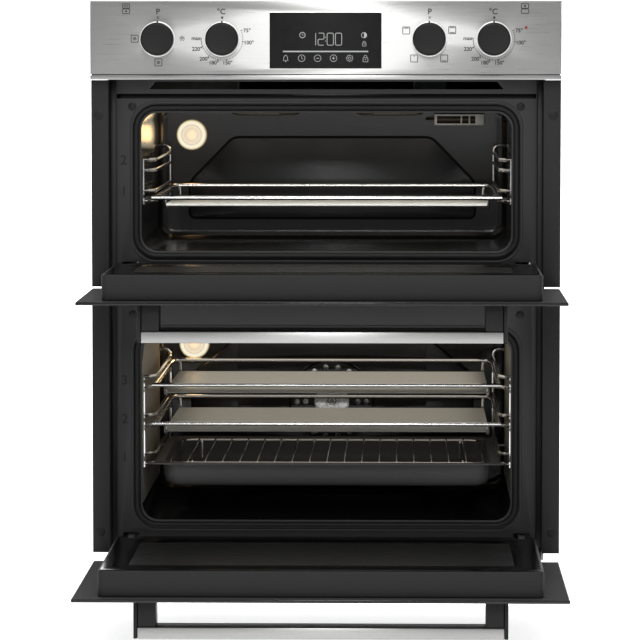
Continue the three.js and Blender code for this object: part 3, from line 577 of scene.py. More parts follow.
def row_tree():
    """Repeats the form in a straight row."""
    sockets = [("Count", "Int"), ("Step", "Vector"), ("Material", "Material")]
    tree, given = open_tree("repeat_in_a_row", sockets)
    places = {"Count": given["Count"], "Offset": given["Step"]}
    line = add(tree, "GeometryNodeMeshLine", places, mode="OFFSET")
    return close_tree(tree, instances(tree, line.outputs["Mesh"], given["Geometry"]), given["Material"])


def ring_tree():
    """Repeats the form around an axis through the origin."""
    sockets = [("Count", "Int"), ("Angle", "Float"), ("Axis", "Vector"), ("Material", "Material")]
    tree, given = open_tree("repeat_in_a_ring", sockets)
    places = {"Count": given["Count"], "Offset": (0, 0, 0)}
    points = add(tree, "GeometryNodeMeshLine", places, mode="OFFSET").outputs["Mesh"]
    index = add(tree, "GeometryNodeInputIndex").outputs["Index"]
    angle = add(tree, "ShaderNodeMath", {0: index, 1: given["Angle"]}, operation="MULTIPLY").outputs["Value"]
    turn = add(tree, "FunctionNodeAxisAngleToRotation", {"Axis": given["Axis"], "Angle": angle})
    copies = instances(tree, points, given["Geometry"], Rotation=turn.outputs["Rotation"])
    return close_tree(tree, copies, given["Material"])


def pierced_tree():
    """A flat disc pierced by rings of round holes, filled and given its thickness."""
    lengths = ("Radius", "Hole", "Outer Ring", "Inner Ring", "Centre Hole", "Thickness")
    sockets = [(title, "Float") for title in lengths]
    sockets += [("Outer Count", "Int"), ("Inner Count", "Int"), ("Material", "Material")]
    tree, given = open_tree("pierced_disc", sockets)

    def ring(steps, radius):
        settings = {"Resolution": steps, "Radius": radius}
        return add(tree, "GeometryNodeCurvePrimitiveCircle", settings).outputs["Curve"]

    def join(*parts):
        node = add(tree, "GeometryNodeJoinGeometry")
        for part in parts:
            tree.links.new(part, node.inputs["Geometry"])
        return node.outputs["Geometry"]

    parts = [ring(96, given["Radius"]), ring(48, given["Centre Hole"])]
    hole = ring(16, given["Hole"])
    for name in ("Outer", "Inner"):
        copies = instances(tree, ring(given[name + " Count"], given[name + " Ring"]), hole)
        real = add(tree, "GeometryNodeRealizeInstances", {"Geometry": copies})
        parts.append(real.outputs["Geometry"])
    flat = add(tree, "GeometryNodeFillCurve", {"Curve": join(*parts)}).outputs["Mesh"]
    settings = {"Mesh": flat, "Offset Scale": given["Thickness"], "Individual": False}
    thick = add(tree, "GeometryNodeExtrudeMesh", settings).outputs["Mesh"]
    back = add(tree, "GeometryNodeFlipFaces", {"Mesh": flat}).outputs["Mesh"]
    return close_tree(tree, join(thick, back), given["Material"])


def grown(form, tree, look, **values):
    """The form that a Geometry Nodes tree makes from form, with its inputs set by identifier."""
    data = bpy.data.meshes.new("seed")
    form.to_mesh(data)
    form.free()
    holder = bpy.data.objects.new("seed", data)
    modifier = holder.modifiers.new("nodes", "NODES")
    modifier.node_group = tree
    sockets = {item.name: item.identifier for item in tree.interface.items_tree if item.in_out == "INPUT"}
    for title, value in {**values, "Material": look}.items():
        modifier[sockets[title.replace("_", " ")]] = value
    bpy.context.scene.collection.objects.link(holder)
    result = bpy.data.meshes.new_from_object(holder.evaluated_get(bpy.context.evaluated_depsgraph_get()))
    made = bmesh.new()
    made.from_mesh(result)
    bpy.data.objects.remove(holder)
    bpy.data.meshes.remove(data)
    bpy.data.meshes.remove(result)
    return made


def in_a_row(form, look, count, step):
    """count copies of a form, each a step from the last."""
    return grown(form, TREES["row"], LOOKS[look], Count=count, Step=step)


def in_a_ring(form, look, count, angle=None):
    """count copies of a form around the y axis, an angle apart or spread evenly."""
    turn = math.tau / count if angle is None else angle
    return grown(form, TREES["ring"], LOOKS[look], Count=count, Angle=turn, Axis=(0, 1, 0))


# ---------------------------------------------------------------- pieces

PRINT_PROUD = 0.03  # how far the middle of a print stands before its face


def piece(name, form, look, replaces=(), body="cabinet", crease=35, along_x=False):
    """Makes a finished form one of the oven's pieces, with its place in its mesh."""
    bmesh.ops.remove_doubles(form, verts=form.verts, dist=1e-3)
    loose = [f for f in form.faces if f.calc_area() < 1e-9]
    bmesh.ops.delete(form, geom=loose, context="FACES_ONLY")
    bmesh.ops.recalc_face_normals(form, faces=form.faces)
    limit = math.radians(crease)
    for edge in form.edges:
        edge.smooth = len(edge.link_faces) == 2 and edge.calc_face_angle(0) < limit
    for face in form.faces:
        face.smooth = True
        face.material_index = 0
    if along_x:
        layer = form.loops.layers.uv.new("length")
        for face in form.faces:
            normal = face.normal
            for loop in face.loops:
                x, y, z = loop.vert.co
                loop[layer].uv = (y, z) if abs(normal.x) >= 0.7 else (x, y if abs(normal.z) > 0.7 else z)
    form.transform(TO_FRAME)
    data = bpy.data.meshes.new(name)
    form.to_mesh(data)
    form.free()
    data.materials.clear()
    data.materials.append(LOOKS[look])
    obj = bpy.data.objects.new(name, data)
    bpy.context.scene.collection.objects.link(obj)
    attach(obj, body)
    if replaces:
        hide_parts(*replaces)


def printed(name, forms, look="ink", y=FASCIA_FRONT):
    """Flat prints drawn in x and z, laid on an upright face at y."""
    whole = together(*forms)
    whole.transform(at(y=y - PRINT_PROUD) @ UPRIGHT)
    piece(name, whole, look)


def strokes(paths, width, closed=False):
    """Printed lines: ribbons of flattened round section."""
    form = wires([[(*p, 0) for p in path] for path in paths], width / 2, closed, 1)
    form.transform(Matrix.Diagonal((1, 1, 0.08 / width, 1)))
    return form


def ringed(x, z, radius, width, steps=24):
    """A printed circle."""
    return strokes([circle(x, z, radius, steps)], width, True)


def shifted(path, x, z, scale=1.0):
    return [(x + a * scale, z + b * scale) for a, b in path]


def arc(x, z, radius, start, end, steps=12):
    """Points on an arc, angles in degrees clockwise from the top."""
    angles = [math.radians(start + (end - start) * k / steps) for k in range(steps + 1)]
    return [(x + radius * math.sin(a), z + radius * math.cos(a)) for a in angles]


def spoke(x, z, inner, outer, angle):
    """A straight line between two distances from a middle."""
    return [arc(x, z, radius, angle, angle, 1)[0] for radius in (inner, outer)]


def dot(x, z, radius):
    return plate(circle(x, z, radius, 24), INK)


class OVEN_OT_fascia(bpy.types.Operator):
    """Folded stainless fascia with its lip, brackets and indicator."""

    bl_idname = "oven.fascia"
    bl_label = "Fascia"

    def execute(self, context):
        front, top, half, fold = FASCIA_FRONT, FASCIA_TOP, FRONT_HALF, 2.2
        turns = [math.radians(15 * k) for k in range(7)]
        section = [(front, GROOVE_TOP)]
        section += [(front + fold * (1 - math.cos(a)), top - fold * (1 - math.sin(a))) for a in turns]
        section += [(0, top), (0, top - 1.5), (front + 1.6, top - 1.6), (front + 1.6, GROOVE_TOP)]
        shell = plate(section, 2 * half - 3.4, edge=0.25, steps=1)
        shell.transform(ALONG_X)
        gap = 0.4
        low = (-DISPLAY_HALF - gap, front - 7, DISPLAY_LOW - gap)
        cutters = together(brick(low, (DISPLAY_HALF + gap, front + 8, DISPLAY_HIGH + gap)))
        for x in KNOBS.values():
            bore = lathe([(0, -30), (5, -30), (5, -10), (0, -10)], 32)
            absorb(cutters, bore, at(x, 0, KNOB_HEIGHT) @ REARWARD)
        piece("fascia_front", cut(shell, cutters), "brushed", ["control_fascia"], along_x=True)
        lip = brick((-half, front, FASCIA_FOOT), (half, 0, LIP_TOP), 0.6, 3)
        piece("fascia_lip", lip, "brushed", along_x=True)
        for side, sign in LEFT_RIGHT:
            cap = side_brick(sign, half - 1.6, half, (front + 0.2, 0), (GROOVE_TOP, top - 0.3), 0.5)
            piece(f"fascia_end_{side}", cap, "brushed", along_x=True)
            self.bracket(side, sign)
        low = (-half + 2, front + 1.4, LIP_TOP - 0.6)
        groove = brick(low, (half - 2, -1, GROOVE_TOP + 0.8), 0.2)
        piece("fascia_groove_strip", groove, "plastic")
        lamp = lathe([(0, -1.2), (1.9, -1.2), (1.9, 0.15), (1.5, 0.4), (0.8, 0.6), (0, 0.65)], 24)
        lamp.transform(at(251.8, front, 680.9) @ UPRIGHT)
        piece("indicator_lens", lamp, "red")
        return {"FINISHED"}

    def bracket(self, side, sign):
        """A folded strip from the back of the fascia to the front frame."""
        inner, outer = (262, 276) if sign > 0 else (276, 262)
        web = inner + 1.5 * sign
        front, back, rise = FASCIA_FRONT, BACK_OF_FRONT, (640, 690)
        bracket = together(
            side_brick(sign, inner, outer, (front + 1.7, front + 3.2), rise, 0.3),
            side_brick(sign, inner, web, (front + 3, back), rise, 0.3),
            side_brick(sign, inner, outer, (back - 1.5, back), rise, 0.3),
        )
        piece(f"fascia_bracket_{side}", bracket, "zinc")


class OVEN_OT_display(bpy.types.Operator):
    """Clock display: lens, housing and lit strokes."""

    bl_idname = "oven.display"
    bl_label = "Display"

    DIGIT_LOW, DIGIT_HIGH = 658.9, 674.0
    BELL = [
        (-3.2, -2.9), (-2.4, -1.5), (-2.4, 1.1), (-1.4, 3.1), (0, 3.9),
        (1.4, 3.1), (2.4, 1.1), (2.4, -1.5), (3.2, -2.9),
    ]
    SHACKLE = [(-1.7, 1.4), (-1.7, 2.8), (-1.2, 4), (0, 4.5), (1.2, 4), (1.7, 2.8), (1.7, 1.4)]

    def execute(self, context):
        lens = plate(rounded(-DISPLAY_HALF, DISPLAY_HALF, DISPLAY_LOW, DISPLAY_HIGH, 1.6), 2.4, edge=0.4)
        lens.transform(at(y=-17.3) @ UPRIGHT)
        piece("display_lens", lens, "lens", ["display_module"])
        housing = together(
            brick((-76, -14, 631), (76, 20, 699), 1.2),
            brick((-62, 19.5, 640), (62, BACK_OF_FRONT, 690), 1.0),
        )
        piece("display_housing", housing, "plastic")
        bar = strokes([[(-53.6, 651), (53.6, 651)]], 1.7)
        icons = self.clock() + [bar] + self.lock(48.6, 660.5, 0.8) + self.lock(50.2, 641.6, 1.05)
        printed("display_strokes", icons + self.keys(), "lit", -18.5)
        return {"FINISHED"}

    def clock(self):
        """The time, the clock symbol and the half-filled disc above the bar."""
        low, high = self.DIGIT_LOW, self.DIGIT_HIGH
        two = [(-8.8, high), (-1.9, high), (-1.9, 666.4), (-9.4, 666.4), (-9.4, low), (-2.4, low)]
        two = [tuple(p)[:2] for p in bent([(*p, 0) for p in two], 1.6, False, 3)]
        one = [(-12.4, 658.7), (-12.4, high)]
        zeros = [rounded(x, x + 7.9, low, high, 1.7, 3) for x in (2.0, 12.4)]
        return [
            strokes([one, two], 0.8),
            strokes(zeros, 0.8, True),
            ringed(-29.1, 671.6, 3.4, 0.8),
            strokes([[(-29.1, 673.4), (-29.1, 671.4), (-27.6, 671.4)]], 0.6),
            dot(0.15, 668.9, 0.6),
            dot(0.15, 664.1, 0.6),
            ringed(48.4, 671.4, 3.3, 0.7),
            plate(arc(48.4, 671.4, 3.4, 0, 180), INK),
        ]

    def keys(self):
        """The touch keys under the bar: bell, clock, minus, plus and gear."""
        row = KEY_ROW
        icons = [ringed(x, row, 4.2, 0.6, 28) for x in (-30.1, -10.0, 10.0)]
        icons.append(strokes([[(-30.1, row + 2.5), (-30.1, row), (-28.2, row - 1.7)]], 0.6))
        dashes = [[(x - 1.9, row), (x + 1.9, row)] for x in (-10, 10)]
        icons.append(strokes([*dashes, [(10, row - 1.9), (10, row + 1.9)]], 0.75))
        icons += [strokes([shifted(self.BELL, -50.2, row)], 0.6, True), dot(-50.2, row - 3.8, 0.8)]
        teeth = [(4.3, 4.3, 3.3, 3.3)[k % 4] for k in range(32)]
        angles = [math.tau * k / 32 for k in range(32)]
        gear = [(30.3 + r * math.sin(a), row + r * math.cos(a)) for r, a in zip(teeth, angles)]
        return icons + [strokes([gear], 0.55, True), ringed(30.3, row, 1.5, 0.5, 16)]

    def lock(self, x, z, scale):
        """A padlock symbol."""
        body = shifted(rounded(-2.9, 2.9, -3.4, 1.4, 0.5, 2), x, z, scale)
        shackle = shifted(self.SHACKLE, x, z, scale)
        return [strokes([body], 0.55, True), strokes([shackle], 0.55), dot(x, z - 0.8 * scale, 0.6 * scale)]


class OVEN_OT_knobs(bpy.types.Operator):
    """Four knobs with their rings and pointers."""

    bl_idname = "oven.knobs"
    bl_label = "Knobs"

    GRIP = [
        (0, 4), (3, 4), (3, 19.6), (20.0, 19.6), (20.8, 20.2), (20.9, 22), (20.7, 30), (20.5, 35),
        (20.1, 36.2), (19.2, 36.9), (17.6, 37.0), (16.5, 36.85), (10, 36.6), (0, 36.5),
    ]
    RING = [(18, 18.7), (22.1, 18.7), (22.3, 18.9), (22.3, 19.4), (22.0, 19.8), (21.2, 20.0), (18, 20.0)]

    def execute(self, context):
        for name, x in KNOBS.items():
            knob = name + "_knob"
            grip, ring = lathe(self.GRIP, 72), lathe(self.RING, 72, True)
            pointer = brick((-0.95, 20.6, 19.4), (0.95, 23.0, 20.45), 0.15, 1)
            for form in (grip, ring, pointer):
                form.transform(at(x, 0, KNOB_HEIGHT) @ UPRIGHT)
            piece(f"{name}_grip", grip, "plastic", [knob], knob)
            piece(f"{name}_ring", ring, "ring", body=knob)
            piece(f"{name}_pointer", pointer, "plastic", body=knob)
        return {"FINISHED"}


class OVEN_OT_dial_prints(bpy.types.Operator):
    """Printed symbols and temperature scales around the knobs."""

    bl_idname = "oven.dial_prints"
    bl_label = "Dial prints"

    SCALE = {
        "75°": (31.5, 10.6), "100°": (33.8, -4.6), "150°": (7.0, -29.8), "180°": (-10.4, -29.8),
        "200°": (-22.0, -25.0), "220°": (-31.4, -12.6), "max": (-32.8, 0.9),
    }
    FANNED = {(-28.7, 0.5): "fan", (1.1, -29.3): "fan", (30.9, 0.8): "burst"}
    HEATED = {(-28.9, 10.8): "arch", (28.9, 11.3): "both", (-18.9, -24.3): "flame", (18.9, -24.3): "foot"}
    TITLE_RISE, MARK_RISE, TITLE_HEIGHT = 34.2, 27.0, 7.0
    SCALE_START, SCALE_SWEEP, DOTS = 66, 182, 38

    def execute(self, context):
        title = KNOB_HEIGHT + self.TITLE_RISE
        mark = KNOB_HEIGHT + self.MARK_RISE
        for name, x in KNOBS.items():
            if "thermostat" in name:
                self.ticks(name, x)
                forms = self.scale(x)
                forms += [self.word("°C", x - 0.9, title, self.TITLE_HEIGHT), dot(x + 0.3, mark, 1.5)]
            else:
                letter = self.word("P", x + 0.6, title, self.TITLE_HEIGHT)
                forms = [letter, ringed(x + 0.6, mark, 1.2, 0.7, 20)]
                symbols = self.FANNED if name.startswith("upper") else self.HEATED
                for (dx, dz), kind in symbols.items():
                    forms += self.symbol(x + dx, KNOB_HEIGHT + dz, kind)
            printed(f"{name}_print", forms)
        for x, filled in ((-251.1, "lower"), (250.4, "upper")):
            printed(f"oven_symbol_{filled}", self.oven_symbol(x, 704.7, filled))
        return {"FINISHED"}

    def word(self, text, x, z, height):
        form = lettering(text, height)
        form.transform(at(x, z))
        return form

    def scale(self, x):
        """Temperatures in their places, their short lines, and the solid arc from 220 to max."""
        forms = [self.word(text, x + dx, KNOB_HEIGHT + dz, 4.7) for text, (dx, dz) in self.SCALE.items()]
        forms.append(strokes([arc(x, KNOB_HEIGHT, 26.2, 247, 272)], 0.8))
        angles = (66, 97, 167, 193, 219, 248, 272)
        return forms + [strokes([spoke(x, KNOB_HEIGHT, 25.4, 28.4, angle)], 0.7) for angle in angles]

    def ticks(self, name, x):
        """The dotted part of the scale, one dot repeated around the shaft."""
        mark = plate(circle(0, 26.2, 0.66, 10), INK)
        mark.transform(UPRIGHT @ Matrix.Rotation(math.radians(-self.SCALE_START), 4, "Z"))
        row = in_a_ring(mark, "ink", self.DOTS, math.radians(self.SCALE_SWEEP / (self.DOTS - 1)))
        row.transform(at(x, FASCIA_FRONT - PRINT_PROUD, KNOB_HEIGHT))
        piece(f"{name}_ticks", row, "ink")

    def symbol(self, x, z, kind):
        """The sign of one function: a square with its heaters or fan, or a burst of rays."""
        if kind == "burst":
            rays = [spoke(x, z, 1.6, 3.6, angle) for angle in (-100, -60, -20, 20, 60, 100, 150, 210)]
            return [strokes(rays, 0.8), ringed(x, z + 0.2, 1.0, 0.7, 16)]
        forms = [strokes([rounded(x - 4.4, x + 4.4, z - 4.4, z + 4.4, 0.6, 2)], 0.95, True)]
        if kind == "fan":
            blades = [arc(x, z, 2.0, a, a + 60, 4) + [(x, z)] for a in QUARTERS]
            forms += [strokes(blades, 0.8), dot(x, z, 0.8)]
        if kind in ("arch", "both", "flame"):
            wide = 0.9 if kind == "flame" else 3.0
            forms.append(strokes([[(x - wide, z + 3.0), (x + wide, z + 3.0)]], 1.0))
        if kind in ("both", "foot"):
            forms.append(strokes([[(x - 3.0, z - 3.0), (x + 3.0, z - 3.0)]], 0.9))
        return forms

    def oven_symbol(self, x, z, filled):
        """Two stacked ovens, the one that the knobs below work marked with a dot."""
        step, rise = 3.3, 2.8
        middles = [z + sign * step for sign in (-1, 1)]
        boxes = [rounded(x - 4.5, x + 4.5, middle - rise, middle + rise, 0.6, 2) for middle in middles]
        forms = [strokes(boxes, 0.95, True), dot(x, z + (step if filled == "upper" else -step), 1.3)]
        if filled == "lower":
            forms.append(strokes([[(x - 3.2, z + h), (x + 3.2, z + h)] for h in (2.1, 3.3, 4.5)], 0.6))
        return forms


class OVEN_OT_trims(bpy.types.Operator):
    """Painted side trims with their screw plugs."""

    bl_idname = "oven.trims"
    bl_label = "Side trims"

    FOOT, TOP = 13.5, 615.0
    PLUG = [(0, 0.35), (4.2, 0.3), (5.7, 0.15), (6.1, -0.1), (6.2, -0.8)]

    def execute(self, context):
        low, high = TRIM_BREAK
        web = TRIM_INNER + TRIM_SHEET
        for side, sign in LEFT_RIGHT:
            flanges = [
                side_brick(sign, TRIM_INNER, FRONT_HALF, (-2, 0), rise, 0.5, 3)
                for rise in ((self.FOOT, low), (high, self.TOP))
            ]
            fold = side_brick(sign, TRIM_INNER, web, (-1.4, 43.5), (self.FOOT + 0.5, self.TOP - 0.5), 0.4)
            fold = cut(fold, side_brick(sign, TRIM_INNER - 2, web + 2, (-5, 7), TRIM_BREAK))
            piece(f"trim_{side}", together(*flanges, fold), "paint", [f"trim_{side}"])
            plug = lathe(self.PLUG, 32)
            plug.transform(at(sign * 287.5, -2, 40) @ UPRIGHT)
            piece(f"trim_plugs_{side}", in_a_row(plug, "plastic", 2, (0, 0, 530)), "plastic")
        return {"FINISHED"}


class OVEN_OT_front_frame(bpy.types.Operator):
    """Enamelled front frame with openings, vent, hinge slots, pressed border and shelf numbers."""

    bl_idname = "oven.front_frame"
    bl_label = "Front frame"

    LOW, HIGH, SIDE_FOLD, BACK_FOLD = 14.0, 698.5, 45.0, 276.5
    VENT = [(-225, 603), (225, 603), (217, 612.5), (-217, 612.5)]
    PLUG = [(0, 0.9), (3.6, 0.8), (5.0, 0.4), (5.3, 0), (5.4, -0.6)]
    NUMBERS = (("1", 132.4), ("2", 181.5), ("3", 231.2), ("1", 472.9), ("2", 512.6))

    def execute(self, context):
        self.sheet()
        self.details()
        return {"FINISHED"}

    def sheet(self):
        """The pierced face with its folded sides."""
        holes = [rounded(-235.5, 235.5, *opening, 21) for opening in OPENINGS.values()]
        holes.append(self.VENT)
        for door in DOORS.values():
            z = door["pin"][1]
            for near in (-260.5, 239.5):
                holes.append(rounded(near, near + 21, z + 5, z + 21, 1.5, 3))
        face = plate(rounded(-FRAME_HALF, FRAME_HALF, self.LOW, self.HIGH, 1.0, 3), FRAME_SHEET, holes, 0.3)
        face.transform(at(y=FRAME_FACE + FRAME_SHEET / 2) @ UPRIGHT)
        inner, rise = FRAME_HALF - 1, (self.LOW + 0.5, self.HIGH - 0.5)
        wings = []
        for _, sign in LEFT_RIGHT:
            back = (self.SIDE_FOLD - FRAME_SHEET, self.SIDE_FOLD)
            wings.append(side_brick(sign, inner, inner + FRAME_SHEET, (28.3, self.SIDE_FOLD), rise, 0.3))
            wings.append(side_brick(sign, inner, self.BACK_FOLD, back, rise, 0.3))
        piece("front_frame", together(face, *wings), "satin_enamel", ["front_frame"])

    def details(self):
        """The pressed ribs, the near-black band under the fascia that is a painted shadow, the screw plugs
        and the shelf numbers.
        """
        borders = []
        for low, high in OPENINGS.values():
            rib = wires([hoop(248.6, low - 13.1, high + 13.1, 30, 0, True)], 1.5, True, 2)
            rib.transform(at(y=FRAME_FACE) @ Matrix.Diagonal((1, 0.6, 1, 1)))
            borders.append(rib)
        piece("front_frame_border", together(*borders), "satin_enamel")
        # A near-black strip across the frame just under the fascia: a painted shadow band.
        painted_shadow_band = brick((-266.6, FRAME_FACE - 0.5, 591.2), (266.6, FRAME_FACE + 0.4, 597.2), 0.3)
        piece("front_frame_painted_shadow_band", painted_shadow_band, "gloss")
        plug = lathe(self.PLUG, 32)
        plug.transform(at(-247, FRAME_FACE, 315.6) @ UPRIGHT)
        column = in_a_row(plug, "plastic", 2, (0, 0, 265.4))
        piece("front_frame_plugs", in_a_row(column, "plastic", 2, (494, 0, 0)), "plastic")
        marks = []
        for text, z in self.NUMBERS:
            marks.append(lettering(text, 12.0, 0.4))
            marks[-1].transform(at(-258, z))
        printed("shelf_numbers", marks, "silicone", FRAME_FACE)


class OVEN_OT_cavities(bpy.types.Operator):
    """Enamelled oven shells with their pressed back walls."""

    bl_idname = "oven.cavities"
    bl_label = "Oven shells"

    # Each loop of the shell: half width, how far inside the walls' height, y and corner radius
    SHELL = (
        (228, 12, 444, 10), (234, 6, 443, 15), (238.4, 1.6, 439.5, 19), (240, 0, 434, 20), (240, 0, 29.7, 20),
        (251, -9, 29.5, 20), (251, -9, 30.7, 20), (241.2, -1.2, 30.7, 21), (241.2, -1.2, 435, 21),
        (238, 2, 443, 18), (230, 10, 445.2, 12),
    )
    # The outline of each pressing in the back wall, and its height
    PRESSINGS = {
        "upper": ([(-197, 420), (197, 420), (197, 470), (137, 531.5), (-137, 531.5), (-197, 470)], 1.2),
        "lower": ([(-196, 60), (196, 60), (196, 204), (112, 272), (-112, 272), (-196, 204)], 5.0),
    }
    PRESSING_CORNER = 9

    def execute(self, context):
        for level, (low, high) in CAVITIES.items():
            shell = loft([
                hoop(half, low + inset, high - inset, radius, y, True)
                for half, inset, y, radius in self.SHELL
            ])
            piece(f"{level}_shell", shell, "enamel", [f"{level}_cavity"])
            points, height = self.PRESSINGS[level]
            outline = [tuple(p)[:2] for p in bent([(*p, 0) for p in points], self.PRESSING_CORNER, True, 6)]
            panel = plate(outline, 2 * height, edge=height * 0.95, steps=2)
            panel.transform(at(y=BACK_WALL + 0.05) @ UPRIGHT)
            for vert in panel.verts:
                vert.co.y = min(vert.co.y, BACK_WALL + 0.3)
            piece(f"{level}_back_pressing", panel, "enamel")
        # A low near-black rib along the upper pressing's outline: its near-black is painted shade in the
        # pressed groove, in place of the wall's enamel.
        outline = [(x, BACK_WALL - 0.4, z) for x, z in self.PRESSINGS["upper"][0]]
        groove = wires([bent(outline, self.PRESSING_CORNER, True, 6)], 1.9, True, 2)
        for vert in groove.verts:
            vert.co.y = max(BACK_WALL - 1.6, min(vert.co.y, BACK_WALL - 0.1))
        piece("upper_back_groove_painted_shade", groove, "gloss")
        return {"FINISHED"}


class OVEN_OT_seals(bpy.types.Operator):
    """Silicone seals around both openings."""

    bl_idname = "oven.seals"
    bl_label = "Door seals"

    def execute(self, context):
        for level, (low, high) in OPENINGS.items():
            path = [(x, 0, z) for x, z in rounded(-242, 242, low - 6.5, high + 6.5, 26, 10)]
            seal = wires([path], 4.3, True, 4)
            seal.transform(at(y=FRAME_FACE - 0.4))
            for vert in seal.verts:
                vert.co.y = min(vert.co.y, FRAME_FACE - 0.2)
            piece(f"{level}_seal", seal, "silicone", [f"{level}_seal"], crease=50)
        return {"FINISHED"}


class OVEN_OT_racks(bpy.types.Operator):
    """Chromed side racks: a bent frame with pairs of guide wires."""

    bl_idname = "oven.racks"
    bl_label = "Side racks"

    FRONT, REAR = 76, 402  # the uprights' places in y
    # How far the front upright, the guides and the rear hooks stand from the middle
    PLANE, GUIDE, HOOK = 237.3, 222, 239.5

    def execute(self, context):
        radius = context.scene.oven_sizes.rack_wire * 1000
        for level, (low, high, steps) in RACKS.items():
            for side, sign in LEFT_RIGHT:
                plane, guide, hook = sign * self.PLANE, sign * self.GUIDE, sign * self.HOOK
                corners = ((hook, low), (guide, low), (guide, high), (hook, high))
                rear = [(x, self.REAR, z) for x, z in corners]
                rises = (min(steps) - 4, max(steps) + GUIDE_GAP)
                uprights = [[(plane, self.FRONT, z) for z in rises], bent(rear, 9)]
                guides = []
                for z in [step + gap for step in steps for gap in (0, GUIDE_GAP)]:
                    plan = ((plane, self.FRONT), (sign * 230, 78), (guide, 96), (guide, self.REAR))
                    guides.append(bent([(x, y, z) for x, y in plan], 6))
                form = together(wires(uprights, radius), wires(guides, radius * 0.96))
                piece(f"{level}_rack_{side}", form, "chrome", [f"{level}_rack_{side}"])
        return {"FINISHED"}


class OVEN_OT_shelves(bpy.types.Operator):
    """Three wire shelves with close cross wires."""

    bl_idname = "oven.shelves"
    bl_label = "Shelves"

    RISE = 5.5  # the rim's middle above the guide
    # The rim's corners and a bearer's side, with heights from the rim
    RIM = ((220.8, 45.4, 0), (220.8, 372, 0), (216, 389.6, 3.2))
    BEARER = ((46, -1), (50, -12), (64, -13.2), (374, -15.4), (384, -13))
    DECK = (59, 378)
    DECK_FALL = 2.2

    def execute(self, context):
        sizes = context.scene.oven_sizes
        rod, count = sizes.shelf_rod * 1000, sizes.deck_wires
        first, last = self.DECK
        step = (0, (last - first) / (count - 1), -self.DECK_FALL / (count - 1))
        for name, level in SHELVES.items():
            z = level + self.RISE
            right = [(x, y, z + rise) for x, y, rise in self.RIM]
            left = [(-x, y, height) for x, y, height in right]
            rim = bent([left[0], *right, *left[:0:-1]], 7, True)
            front_bar = [(x, 45.4, z) for x in (-223.9, 223.9)]
            bearers = [
                bent([*[(x, y, z + rise) for y, rise in self.BEARER], (x * 1.005, 389, z + 1)], 6)
                for x in (-207, 207)
            ]
            bars = wires([front_bar], rod, False, 4)
            form = together(wires([rim], rod, True, 4), bars, wires(bearers, 1.8))
            piece(f"{name}_frame", form, "chrome", [name], name)
            wire = wires([[(x, first, z - 10.2) for x in (-209, 209)]], 1.4, False, 1)
            piece(f"{name}_deck", in_a_row(wire, "satin_wire", count, step), "satin_wire", body=name)
        return {"FINISHED"}


class OVEN_OT_tray(bpy.types.Operator):
    """Enamelled roasting tray and the wire grid that lies in it."""

    bl_idname = "oven.tray"
    bl_label = "Tray and grid"

    # Each loop of the tray, from the middle of its floor over the rim and back: half width, half depth, z and
    # corner radius
    TRAY = (
        (186, 125.5, 91.4, 8), (200, 140.5, 92.2, 14), (206.5, 147.5, 96.5, 18), (209.6, 151.5, 104, 21),
        (211, 153, 119, 22), (213, 155, 121.6, 24), (221, 167.5, 122.0, 26), (223.2, 169.7, 122.4, 28),
        (224, 170.5, 121.4, 28), (223.2, 169.7, 120.2, 28), (214.5, 156.5, 120.4, 25),
        (212.3, 154.3, 118, 23), (210.8, 152.7, 103.6, 22), (207.5, 148.5, 95.4, 19),
        (200.5, 141.5, 90.9, 14), (186, 125.5, 90.2, 8),
    )
    LEG = ((0, GRID_HEIGHT), (4, 95.5), (16, 94.0), (28, 95.5), (32, GRID_HEIGHT))
    WIRE = ((75, 117.5), (77, 121.6), (358, 121.6), (360, 117.5))
    WIRES_HALF = 180

    def execute(self, context):
        middle = TRAY_MIDDLE
        tray = loft([
            hoop(half, middle - deep, middle + deep, radius, z) for half, deep, z, radius in self.TRAY
        ])
        lip = plate(rounded(-231.5, 231.5, 47.2, 62, 7), 1.5, edge=0.5)
        absorb(tray, lip, at(z=121.6))
        # The tray's light charcoal is painted light for the shade of the open upper door.
        piece("roasting_tray", tray, "tray_enamel", ["roasting_tray"], "roasting_tray")
        corners = ((-202.5, 75), (202.5, 75), (202.5, 360), (-202.5, 360))
        rim = bent([(x, y, GRID_HEIGHT) for x, y in corners], 14, True)
        legs = [
            bent([(x, y + sign * reach, z) for reach, z in self.LEG], 5)
            for x in (-176, 176)
            for y, sign in ((79, 1), (356, -1))
        ]
        form = together(wires([rim], 2.1, True), wires(legs, 1.5))
        piece("tray_grid_frame", form, "chrome", ["tray_grid"], "tray_grid")
        wire = wires([bent([(-self.WIRES_HALF, y, z) for y, z in self.WIRE], 2)], 1.2, False, 1)
        count = context.scene.oven_sizes.grid_wires
        row = in_a_row(wire, "chrome", count, (2 * self.WIRES_HALF / (count - 1), 0, 0))
        piece("tray_grid_wires", row, "chrome", body="tray_grid")
        return {"FINISHED"}


